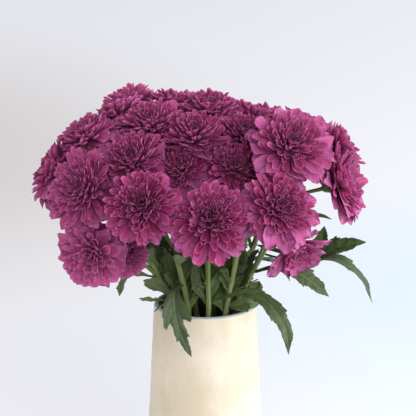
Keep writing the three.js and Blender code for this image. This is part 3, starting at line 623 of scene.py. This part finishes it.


# tint: red 0 for stalks, 0.5 for bracts and 1 for leaves; green a random tone; blue a leaf's youth and the
# light painted on it; alpha 1 on the reverse
foliage, tree, shader = new_material("leaf and stem")
place = node(tree, "TexCoord").outputs["Object"]
uv = node(tree, "UVMap", {"uv_map": "UVMap"}).outputs[0]
across, along, _ = node(tree, "SeparateXYZ", None, {0: uv}).outputs
tint_node = node(tree, "Attribute", {"attribute_name": "tint"})
kind, tone, youth_and_painted_light = node(tree, "SeparateColor", None, {0: tint_node.outputs["Color"]}).outputs
reverse = tint_node.outputs["Alpha"]
patches = noise(tree, place, 160.0, 3.0, 0.6)
fine = noise(tree, place, 1300.0)
green = blended(tree, ramped(tree, patches, 0.35, 0.65), colour(36, 52, 18), colour(66, 84, 34))
green = blended(tree, reckoned(tree, "MULTIPLY", tone, 0.8), green, colour(36, 50, 26))
green = blended(tree, reverse, green, colour(76, 90, 54))
# the leaves in the mouth, by the rim and under the heads are paler: partly the yellow-green of young leaves
# and partly painted light against their shade
green = blended(tree, reckoned(tree, "MULTIPLY", youth_and_painted_light, 0.6), green, colour(92, 112, 56))
off_rib = reckoned(tree, "ABSOLUTE", reckoned(tree, "SUBTRACT", across, 0.5))
rib_mask = ramped(tree, off_rib, 0.02, 0.05, 1.0, 0.0)
# side veins, about eight to a side, leave the rib at a slant towards the tip
vein_phase = reckoned(tree, "MULTIPLY", along, 9.0)
vein_phase = reckoned(tree, "SUBTRACT", vein_phase, reckoned(tree, "MULTIPLY", off_rib, 3.4))
vein_line = reckoned(tree, "ABSOLUTE", reckoned(tree, "SUBTRACT", reckoned(tree, "FRACT", vein_phase), 0.5))
vein_mask = ramped(tree, vein_line, 0.03, 0.1, 0.6, 0.0)
net = node(tree, "TexVoronoi", {"feature": "DISTANCE_TO_EDGE"}, {"Vector": place, "Scale": 620.0}).outputs[0]
net_mask = ramped(tree, net, 0.0, 0.12, 0.35, 0.0)
veins = reckoned(tree, "MAXIMUM", reckoned(tree, "MAXIMUM", rib_mask, vein_mask), net_mask)
green = blended(tree, reckoned(tree, "MULTIPLY", veins, 0.34), green, colour(112, 130, 78))
stalk_green = blended(tree, patches, colour(98, 112, 58), colour(124, 136, 80))
streak_place = node(tree, "CombineXYZ", None, {
    0: reckoned(tree, "MULTIPLY", across, 14.0),
    1: reckoned(tree, "MULTIPLY", along, 3.0),
    2: tone,
}).outputs[0]
streak = noise(tree, streak_place, 1.0)
stalk_green = blended(tree, ramped(tree, streak, 0.5, 0.62, 0.0, 0.7), stalk_green, colour(66, 80, 38))
stalk_green = blended(tree, ramped(tree, streak, 0.46, 0.36, 0.0, 0.5), stalk_green, colour(150, 158, 104))
stalk_green = blended(tree, reckoned(tree, "MULTIPLY", tone, 0.5), stalk_green, colour(74, 90, 44))
is_leaf = ramped(tree, kind, 0.6, 0.9)
leaf_relief = reckoned(tree, "MULTIPLY", veins, is_leaf)
relief = reckoned(tree, "SUBTRACT", reckoned(tree, "MULTIPLY", fine, 0.3), leaf_relief)
fill(tree, shader, {
    "Base Color": blended(tree, is_leaf, stalk_green, green),
    "Roughness": ramped(tree, patches, 0.3, 0.7, 0.48, 0.62),
    "Specular IOR Level": 0.36,
    "Sheen Weight": 0.08,
    "Sheen Roughness": 0.5,
    "Normal": bumped(tree, 0.45, 0.35 * MM, relief),
})

for number, (stem, (azimuth, neck)) in enumerate(STEMS.items()):
    rng = np.random.default_rng(300 + number)
    green_parts = Bundle()
    mouth = direction(azimuth, 0) * MOUTH_OFFSET + [0, 0, JAR_HEIGHT / MM]
    foot = direction(azimuth - STEM_SPIRAL, 0) * FOOT_OFFSET + [0, 0, JAR_FLOOR / MM]
    run = mouth - foot
    lean = STEM_RADIUS * np.hypot(run[0], run[1]) / np.linalg.norm(run)
    foot = foot + unit(run) * (lean + CLEARANCE)

    main = np.linspace(foot, mouth + (foot - mouth) * 0.05, 400)
    green_parts.add_round(*stalk(main, STEM_RADIUS / (1 + STALK_RIDGE), 30, 18), stalk_tint(rng))
    upper = smooth_line([mouth + (foot - mouth) * 0.08, mouth, neck], 61)
    green_parts.add_round(*stalk(upper, NECK_RADIUS / (1 + STALK_RIDGE), 14, 18), stalk_tint(rng))

    heads = [head for head in HEADS if head[-1] == stem]
    for i, (x, y, z, face_azimuth, face_elevation, *_) in enumerate(heads):
        turn_to = head_frame(face_azimuth, face_elevation)
        axis = turn_to[2]
        centre = np.array([x, y, z], float)
        root = first_as_high(upper, neck[2] - 3 - SHOOT_STEP * i)
        top = centre - axis * (SEAT_DEPTH + CLEARANCE + CALYX_HEIGHT - 2)
        before = top - axis * 0.34 * np.linalg.norm(top - root)
        thickness = np.interp(np.linspace(0, 1, 16), [0, 0.1, 0.85, 1], [1.15, 0.95, 0.92, 1.1])
        shoot = smooth_line([root, before, top])
        green_parts.add_round(*stalk(shoot, SHOOT_RADIUS * thickness, 16, 12), stalk_tint(rng))
        seat = centre - axis * (SEAT_DEPTH + CLEARANCE)
        points, quads, triangles = turned(CALYX_LINE, 16)
        around = np.arctan2(points[:, 1], points[:, 0]) / (2 * np.pi) + 0.5
        cup_uv = np.stack([around, points[:, 2] / CALYX_HEIGHT + 1], 1)
        green_parts.add_round(points @ turn_to + seat, quads, triangles, cup_uv, stalk_tint(rng))
        front, back = bracts(rng)
        tints = np.stack([np.full(len(front), 0.5), rng.uniform(0, 1, len(front)), np.zeros(len(front))], 1)
        green_parts.add_sheets(
            front @ turn_to + seat, back @ turn_to + seat, BRACT_LAYOUT, BRACT_ROWS, BRACT_ACROSS, tints)

    # a leaf's root, rib, width, bare share, roll and outline
    grown = [(first_as_high(upper, z), *looks) for name, z, *looks in SHOWN_LEAVES if name == stem]
    for name, z, turn, length, width in FILLING_LEAVES:
        if name == stem:
            root = first_as_high(upper, z)
            # it rises at first, and falls further the longer it is
            elevations = [34 - 1.7 * length * share for share in (0.2, 0.5, 0.8)]
            grown.append((root, bent_rib(root, turn, elevations, length), width, 0.2, 0, "toothed"))
    full_grown = len(grown)
    grown += [(first_as_high(upper, z), *looks) for name, z, *looks in MOUTH_LEAVES if name == stem]
    # young leaves crowd in the forks close to the rim and lean in over the jar
    for _ in range(YOUNG_LEAVES):
        root, turn = first_as_high(upper, rng.uniform(187, 226)), azimuth + 180 + rng.uniform(-70, 70)
        length, rise = rng.uniform(22, 36), rng.uniform(40, 80)
        rib = bent_rib(root, turn, (rise, rise - 8, rise - 20), length)
        size = length * rng.uniform(0.55, 0.7), 0.08, rng.uniform(-25, 25)
        grown.append((root, rib, *size, "broad" if rng.uniform() < 0.5 else "toothed"))
    # upper leaves fill the space under the dome of heads, and leave the gap at its right side free
    sprouts = np.random.default_rng(800 + number)
    for _ in range(UPPER_LEAVES):
        root = first_as_high(upper, neck[2] - sprouts.uniform(2, 18))
        turn = azimuth + sprouts.uniform(-80, 80)
        length, rise = sprouts.uniform(34, 50), sprouts.uniform(30, 66)
        rib = bent_rib(root, turn, (rise, rise - 8, rise - 22), length)
        size = length * sprouts.uniform(0.5, 0.64), 0.12, sprouts.uniform(-35, 35)
        in_right_gap = rib[-1, 0] > 62 and rib[-1, 1] < 34
        if not in_right_gap:
            grown.append((root, rib, *size, "toothed"))
    for k, looks in enumerate(grown):
        front, back = leaf(*looks, rng)
        tints = np.array([[1.0, rng.uniform(0, 1), rng.uniform(0.5, 1) * (k >= full_grown)]])
        green_parts.add_sheets(
            front[None], back[None], LEAF_LAYOUT, LEAF_ROWS / LEAF_TIP, LEAF_ACROSS, tints)

    piece = green_parts.piece(f"leaves_and_stem_{stem}")
    piece.data.materials.append(foliage)
    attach(piece, "root")
    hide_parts(f"leafy_stem_{stem}")


# ---------------------------------------------------------------- the flower heads
# Thirty-two double chrysanthemum heads, each in a green cup. Their ray petals open in turn from the rim
# inwards: broad and drooping at the rim, cupped further in, and short and tight in the sunken eye. Their
# colour deepens from rim to eye, partly their own and partly painted light on the outer petals and painted
# shade in the eye.

PETALS_PER_HEAD = 208
GOLDEN_TURN = np.pi * (3 - np.sqrt(5))
PETAL_ROWS = np.array([0, 0.28, 0.54, 0.78, 0.93, 1.0])
PETAL_ACROSS = np.array([-1, -0.64, -0.3, 0, 0.3, 0.64, 1])
PETAL_LAYOUT = sheet_layout(len(PETAL_ROWS), len(PETAL_ACROSS))
PETAL_THICKNESS = 0.42
USUAL_PAINTED_LIGHT = 0.2
# how much light is painted onto a head as a paler colour, on top and on the lit right side, where it isn't
# the usual share
PAINTED_LIGHT_HEADS = {
    4: 0.4, 7: 0.6, 8: 1.5, 10: 1.4, 11: 0.7, 20: 0.9, 21: 0.6, 26: 0.7, 27: 0.6, 30: 1.0, 31: 1.9, 32: 1.0}
# how much broader, and fewer, a head's petals are
BROAD_HEADS = {
    1: 1.15, 4: 1.15, 7: 1.15, 8: 1.25, 9: 2.2, 10: 1.3, 11: 1.25, 13: 1.25, 17: 1.25, 18: 1.15, 20: 1.15,
    21: 1.2, 22: 1.25, 23: 1.3, 24: 1.2, 25: 1.4, 26: 1.3, 28: 1.05, 31: 1.7, 32: 1.2}
# how long a head's skirt is, as a share of the usual; the crowded heads on top spread theirs over the gaps
LONG_SKIRTS = {
    1: 0.9, 3: 1.12, 4: 1.12, 6: 1.1, 7: 1.3, 8: 0.99, 9: 1.35, 18: 1.15, 20: 1.05, 21: 1.15, 22: 1.1,
    24: 1.2, 26: 1.2, 27: 1.18, 28: 0.88, 29: 1.18, 31: 0.95}
# From the rim of a head to its eye, for a petal's place in that order: how far its tip leans from the head's
# axis in degrees, how far the tip is from the centre and how wide the petal is as shares of the radius, and
# the angle that half of it bends through across. The first fifth is the broad, drooping skirt.
PLACES = [0, 0.09, 0.17, 0.22, 0.32, 0.5, 0.7, 0.85, 0.94, 1]
TIP_LEANS = [106, 98, 90, 82, 73, 58, 42, 29, 19, 10]
TIP_REACHES = [1.0, 1.02, 1.0, 0.95, 0.88, 0.74, 0.6, 0.48, 0.38, 0.3]
PETAL_WIDTHS = [0.37, 0.35, 0.28, 0.2, 0.165, 0.14, 0.125, 0.11, 0.095, 0.08]
PETAL_BENDS = [0.3, 0.35, 0.5, 0.85, 1.05, 1.25, 1.4, 1.4, 1.3, 1.2]
# The petal's half width along its rows, as a share of the greatest, in the skirt and further in.
SKIRT_OUTLINE = [0.34, 0.62, 0.92, 1.0, 0.76, 0]
INNER_OUTLINE = [0.26, 0.46, 0.76, 0.98, 0.98, 0]
# How many degrees more than its tip's place a petal leans from the head's axis, where it leaves the base and
# where it comes to its tip, each for places in the same order.
LEAVING = [0, 0.3, 1], [-24, 6, 18]
ARRIVING = [0, 0.17, 0.25, 0.5, 0.8, 1], [26, 10, -16, -28, -18, -8]


def head_petals(radius, opening, broad, skirted, rng):
    """All ray petals of a head, with its centre at the origin and its face along +Z. Petal k is turned by k
    golden angles. Its middle line is a cubic Bezier curve in its own upright plane, from the base dome to a
    tip that leans less the later the petal opened. Across, it is an arc whose angle grows from rim to eye."""
    order = np.linspace(0, 1, round(PETALS_PER_HEAD / broad))  # 0 at the rim of the head, 1 at the eye
    count = len(order)
    skirt = np.clip(1.6 - order / 0.16, 0, 1)  # 1 on the skirt, 0 further in
    vary = lambda size: rng.uniform(-size, size, count)
    turn = np.arange(count) * GOLDEN_TURN + rng.uniform(0, 6.28) + vary(0.12)
    uneven = 1 + 0.05 * np.sin(turn + rng.uniform(0, 6.28)) + 0.03 * np.sin(2 * turn + rng.uniform(0, 6.28))
    tip_lean = np.radians(np.interp(order, PLACES, TIP_LEANS) * opening + vary(9))
    reach = np.interp(order, PLACES, TIP_REACHES) * (uneven + vary(0.1)) * (1 + (skirted - 1) * skirt)
    tip = reach[:, None] * radius * np.stack([np.sin(tip_lean), np.cos(tip_lean)], 1)
    base_lean = tip_lean * 0.92
    base = 0.14 * radius * np.stack([np.sin(base_lean), 0.7 * np.cos(base_lean)], 1)
    base[:, 1] -= 3.0 * np.clip(1 - order / 0.3, 0, 1)  # the outer petals grow lower on the dome

    length = np.linalg.norm(tip - base, axis=1)
    leave = tip_lean + np.radians(np.interp(order, *LEAVING) + vary(4))
    arrive = tip_lean + np.radians(np.interp(order, *ARRIVING) + vary(16))
    heading = lambda angle: np.stack([np.sin(angle), np.cos(angle)], 1)
    first = base + 0.4 * length[:, None] * heading(leave)
    second = tip - 0.34 * length[:, None] * heading(arrive)
    u = PETAL_ROWS[None, :, None]
    a, b, c, d = (p[:, None, :] for p in (base, first, second, tip))
    line = a * (1 - u) ** 3 + 3 * b * u * (1 - u) ** 2 + 3 * c * u**2 * (1 - u) + d * u**3
    slope = unit(3 * (b - a) * (1 - u) ** 2 + 6 * (c - b) * u * (1 - u) + 3 * (d - c) * u**2)

    width = np.interp(order, PLACES, PETAL_WIDTHS)
    width = radius * width * rng.uniform(1.02, 1.2) * broad * (1 + vary(0.16))
    outline = skirt[:, None] * SKIRT_OUTLINE + (1 - skirt[:, None]) * INNER_OUTLINE
    blunt = (0.75 - 0.3 * skirt + vary(0.15))[:, None] * (PETAL_ROWS == 1)
    half = (width[:, None] / 2 * (outline + blunt))[:, :, None]
    bend = (np.interp(order, PLACES, PETAL_BENDS) * (1 + vary(0.25)))[:, None, None] * (0.55 + 0.45 * u)
    v = PETAL_ACROSS[None, None, :]
    out_side = half / bend * np.sin(bend * v)
    out_up = half / bend * (1 - np.cos(bend * v))
    tilt_side, tilt_up = -np.sin(bend * v), np.cos(bend * v)
    # each petal is twisted a little, leans aside, ripples along its margins and may be notched at its tip
    spin = (np.radians(vary(26))[:, None] * PETAL_ROWS)[:, :, None]
    aside = (vary(0.11) * length)[:, None, None] * u**2
    turn_by = lambda s, n: (s * np.cos(spin) - n * np.sin(spin), s * np.sin(spin) + n * np.cos(spin))
    out_side, out_up = turn_by(out_side, out_up)
    tilt_side, tilt_up = turn_by(tilt_side, tilt_up)
    width = width[:, None, None]
    phase = 7 * u + vary(3.1)[:, None, None] + 1.8 * np.sign(v)
    out_up = out_up + 0.035 * width * np.sin(phase) * np.abs(v) * u
    notch = np.clip(rng.uniform(-0.1, 0.16, count), 0, 1)[:, None, None] * width
    drawn_back = 0.3 * width * v**2 * u**6 + notch * np.exp(-((v / 0.3) ** 2)) * u**8

    radial = line[..., 0, None] - slope[..., 0, None] * drawn_back - slope[..., 1, None] * out_up
    upward = line[..., 1, None] - slope[..., 1, None] * drawn_back + slope[..., 0, None] * out_up
    thick = PETAL_THICKNESS * (1 - 0.4 * u)
    behind_radial = radial + thick * slope[..., 1, None] * tilt_up
    behind_upward = upward - thick * slope[..., 0, None] * tilt_up
    behind_side = out_side - thick * tilt_side

    cos, sin = np.cos(turn)[:, None, None], np.sin(turn)[:, None, None]

    def placed(r, s, z):
        """The points that are r out, s aside and z up, turned to the petal's own direction."""
        return np.stack([r * cos - (s + aside) * sin, r * sin + (s + aside) * cos, z + 0 * s], -1)

    return placed(radial, out_side, upward), placed(behind_radial, behind_side, behind_upward), order


HEAD_MIDDLE = 0.3  # how far before its centre a head's middle is, as a share of its radius
PRESS_REACH = 1.12  # two heads press on each other where they are nearer than this times both radii


def pressed(points, number, depth, margin):
    """Moves a head's points back from the planes between it and the heads that it presses on. A plane stands
    where the line between two heads' middles divides as their radii do. From a depth before it, a point keeps
    the distance margin + depth exp((d - margin - depth) / depth) in place of d, so it never passes margin."""
    middles = np.array([
        np.array([x, y, z]) + HEAD_MIDDLE * radius * direction(azimuth, elevation)
        for x, y, z, azimuth, elevation, radius, *_ in HEADS], float)
    radii = np.array([radius for *_, radius, _, _ in HEADS], float)
    for other in range(len(HEADS)):
        line = middles[other] - middles[number]
        distance = np.linalg.norm(line)
        if other == number or distance >= PRESS_REACH * (radii[number] + radii[other]):
            continue
        normal = line / distance
        offset = normal @ middles[number] + distance * radii[number] / (radii[number] + radii[other])
        left = offset - points @ normal
        free = margin + depth
        kept = margin + depth * np.exp(np.minimum(left - free, 0) / depth)
        points = points + np.where(left < free, left - kept, 0)[..., None] * normal
    return points


# tint: red the petal's place from the rim of the head, 0, to the eye, 1; green a random tone; blue how much
# light is painted onto the head; alpha 1 on the reverse
velvet, tree, shader = new_material("velvety ray petal")
place = node(tree, "TexCoord").outputs["Object"]
uv = node(tree, "UVMap", {"uv_map": "UVMap"}).outputs[0]
across, along, _ = node(tree, "SeparateXYZ", None, {0: uv}).outputs
tint_node = node(tree, "Attribute", {"attribute_name": "tint"})
order, tone, painted_light_share = node(tree, "SeparateColor", None, {0: tint_node.outputs["Color"]}).outputs
reverse = tint_node.outputs["Alpha"]
# painted light and shade: from the rim to the eye the petals' own colour deepens, and light is painted on the
# skirt and shade in the eye
petal_colour = node(tree, "ValToRGB", None, {0: order})
stops = petal_colour.color_ramp.elements
stops[0].position, stops[0].color = 0.0, colour(152, 86, 132)
stops[1].position, stops[1].color = 1.0, colour(46, 10, 32)
for position, rgb in ((0.16, (152, 62, 114)), (0.3, (134, 22, 76)), (0.78, (98, 8, 50))):
    stops.new(position).color = colour(*rgb)
# painted shade: each petal darkens towards its foot, where the petals crowd
shade = blended(tree, ramped(tree, along, 0.1, 0.85, 0.55, 0.0), petal_colour.outputs[0], colour(104, 6, 50))
shade = blended(tree, ramped(tree, tone, 0.0, 1.0, 0.0, 0.3), shade, colour(178, 78, 136))
# painted light: the head is made paler by its share of painted light
shade = blended(tree, reckoned(tree, "MULTIPLY", painted_light_share, 0.4), shade, colour(184, 88, 142))
paler = blended(tree, ramped(tree, order, 0.2, 0.9), colour(182, 86, 140), colour(140, 42, 92))
shade = blended(tree, reckoned(tree, "MULTIPLY", reverse, 0.75), shade, paler)
off_middle = reckoned(tree, "ABSOLUTE", reckoned(tree, "SUBTRACT", across, 0.5))
rim = reckoned(tree, "MAXIMUM", ramped(tree, off_middle, 0.34, 0.5), ramped(tree, along, 0.86, 1.0))
# the rim of a petal is palest between the skirt and the eye
rim_share = ramped(tree, order, 0.1, 0.3, 0.2, 0.72)
rim_share = reckoned(tree, "MINIMUM", rim_share, ramped(tree, order, 0.84, 1.0, 0.72, 0.25))
shade = blended(tree, reckoned(tree, "MULTIPLY", rim, rim_share), shade, colour(188, 98, 150))
lavender = ramped(tree, tone, 0.72, 0.95, 0.0, 0.35)
lavender = reckoned(tree, "MULTIPLY", lavender, ramped(tree, along, 0.4, 1.0))
shade = blended(tree, lavender, shade, colour(162, 96, 152))
stretched = node(tree, "CombineXYZ", None, {
    0: reckoned(tree, "MULTIPLY", across, 16.0),
    1: reckoned(tree, "MULTIPLY", along, 1.6),
    2: tone,
}).outputs[0]
lines = noise(tree, stretched, 1.0)
groove = reckoned(tree, "FRACT", reckoned(tree, "MULTIPLY", across, 3.0))
groove = reckoned(tree, "ABSOLUTE", reckoned(tree, "SUBTRACT", groove, 0.5))
groove = ramped(tree, groove, 0.28, 0.5)
shade = blended(tree, ramped(tree, lines, 0.45, 0.7, 0.0, 0.3), shade, colour(100, 24, 66))
# painted shade: the long grooves of each petal are darkened in colour, besides their bump
shade = blended(tree, reckoned(tree, "MULTIPLY", groove, 0.25), shade, colour(104, 22, 66))
fill(tree, shader, {
    "Base Color": shade,
    "Roughness": ramped(tree, lines, 0.3, 0.7, 0.5, 0.62),
    "Specular IOR Level": 0.2,
    "Subsurface Weight": 0.25,
    "Subsurface Radius": (1.0, 0.2, 0.45),
    "Subsurface Scale": 1.6 * MM,
    "Sheen Weight": 0.13,
    "Sheen Roughness": 0.45,
    "Sheen Tint": colour(244, 180, 220),
    "Normal": bumped(tree, 0.5, 0.4 * MM, reckoned(tree, "SUBTRACT", lines, groove)),
})

# the (radius, height) of the dark dome that the petals grow from, in a head of the radius given
CORE_HEAD_RADIUS = 34
CORE_LINE = np.array([
    (0, -4), (3.6, -4), (4.6, -3.2), (5.0, -1), (5.0, 2), (3.8, 4.6), (1.6, 5.8), (0, 6)], float)
for number, (x, y, z, azimuth, elevation, radius, opening, _) in enumerate(HEADS):
    rng = np.random.default_rng(500 + number)
    centre = np.array([x, y, z], float)
    turn_to = head_frame(azimuth, elevation)
    broad, skirted = BROAD_HEADS.get(number + 1, 1), LONG_SKIRTS.get(number + 1, 1)
    front, back, order = head_petals(radius, opening, broad, skirted, rng)
    depth = rng.uniform(3, 8, len(order))[:, None, None]
    margin = rng.uniform(-8.0, 1.0, len(order))[:, None, None]
    sag = (0.08 * radius * np.clip(1 - order / 0.3, 0, 1))[:, None, None] * PETAL_ROWS[:, None] ** 2
    lowered = centre - np.stack([0 * sag, 0 * sag, sag], -1)
    front = pressed(front @ turn_to + lowered, number, depth, margin)
    back = pressed(back @ turn_to + lowered, number, depth, margin)
    head = Bundle()
    painted_light_shares = np.full(len(order), PAINTED_LIGHT_HEADS.get(number + 1, USUAL_PAINTED_LIGHT))
    tints = np.stack([order, rng.uniform(0, 1, len(order)), painted_light_shares], 1)
    head.add_sheets(front, back, PETAL_LAYOUT, PETAL_ROWS, PETAL_ACROSS, tints)
    points, quads, triangles = turned(CORE_LINE * [radius / CORE_HEAD_RADIUS, 1], 24)
    core_uv = np.tile([0.5, 0.1], (len(points), 1))
    head.add_round(points @ turn_to + centre, quads, triangles, core_uv, (1, 0, 0, 0))
    piece = head.piece(f"flower_head_{number + 1:02d}")
    piece.data.materials.append(velvet)
    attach(piece, "root")
    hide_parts(f"bloom_{number + 1:02d}")


# ---------------------------------------------------------------- the studio
# A pale floor that sweeps up all round, far from the jar, with a warm shadow painted on its left and a cool
# shade painted on its right, soft lights that come mostly from the right and above, and a camera at the
# photograph's place, a little above the flowers and looking slightly down.

FLAT, SWEEP = 2.1, 4.4  # the radius of the level part and that of the curve up to the wall, in metres
FLOOR_STEPS = 96  # round the floor
rise = np.linspace(0, 0.85, 30)
bowl = np.stack([FLAT + SWEEP * np.sin(rise), SWEEP - SWEEP * np.cos(rise)], 1)
points, quads, triangles = turned(np.concatenate([[[0, 0]], bowl, [[0, 0]]]), FLOOR_STEPS)
# it is open at the top and seen from inside, so the last middle is left out and the faces are turned over
floor = new_piece("studio_floor", points[:-1] - [0, 1.5, 0], quads[:, ::-1], triangles[:FLOOR_STEPS, ::-1])
paper, tree, shader = new_material("pale studio paper")
place = node(tree, "TexCoord").outputs["Object"]
pale = blended(tree, noise(tree, place, 1.2), colour(223, 223, 224), colour(227, 227, 229))
from_left = node(tree, "VectorMath", {"operation": "DISTANCE"}, {0: place, 1: (-0.6, 1.3, 0.0)}).outputs[1]
# painted shadow: the paper is warmer and darker round a place at the left
pale = blended(tree, ramped(tree, from_left, 0.1, 0.95), colour(206, 200, 196), pale)
from_right = node(tree, "VectorMath", {"operation": "DISTANCE"}, {0: place, 1: (0.5, 0.6, 0.0)}).outputs[1]
# painted shade: the paper is cooler and a little darker round a place at the right, near the side light
pale = blended(tree, ramped(tree, from_right, 0.1, 0.72), colour(207, 219, 226), pale)
fill(tree, shader, {"Base Color": pale, "Roughness": 0.9})
floor.data.materials.append(paper)


def soft_light(name, place, target, size, power, tone):
    """A square area light at a place, turned to look at a target."""
    data = bpy.data.lights.new(name, "AREA")
    data.shape, data.size, data.energy, data.color = "SQUARE", size, power, tone
    light = bpy.data.objects.new(name, data)
    light.location = place
    light.rotation_mode = "QUATERNION"
    light.rotation_quaternion = Vector(np.subtract(target, place)).to_track_quat("-Z", "Y")
    bpy.context.scene.collection.objects.link(light)


soft_light("window", (1.0, -1.9, 1.15), (0, 0, 0.25), 1.9, 38, (1.0, 0.985, 0.97))
soft_light("side", (2.1, -0.4, 0.8), (0, 0, 0.2), 1.0, 46, (0.95, 0.98, 1.0))
soft_light("bounce", (-1.8, -0.7, 0.6), (0, 0, 0.25), 1.4, 10, (1.0, 0.9, 0.8))
soft_light("backdrop", (2.4, 0.6, 1.6), (1.2, 3.6, 0.9), 1.6, 16, (0.9, 0.97, 1.0))

world = bpy.data.worlds.new("soft room")
bpy.context.scene.world = world
world.use_nodes = True
fill(world.node_tree, world.node_tree.nodes["Background"], {"Color": (0.93, 0.94, 1.0, 1.0), "Strength": 0.8})
bpy.context.scene.view_settings.view_transform = "Standard"

CAMERA_PLACE = (2.6 * MM, -953.4 * MM, 512.5 * MM)
CAMERA_PITCH = 13.5  # degrees down from level
camera_data = bpy.data.cameras.new("camera")
camera_data.lens, camera_data.sensor_width = 99.52, 36
camera_data.clip_start, camera_data.clip_end = 0.05, 50
camera = bpy.data.objects.new("camera", camera_data)
camera.location = CAMERA_PLACE
camera.rotation_euler = (np.radians(90 - CAMERA_PITCH), 0, 0)
bpy.context.scene.collection.objects.link(camera)
bpy.context.scene.camera = camera
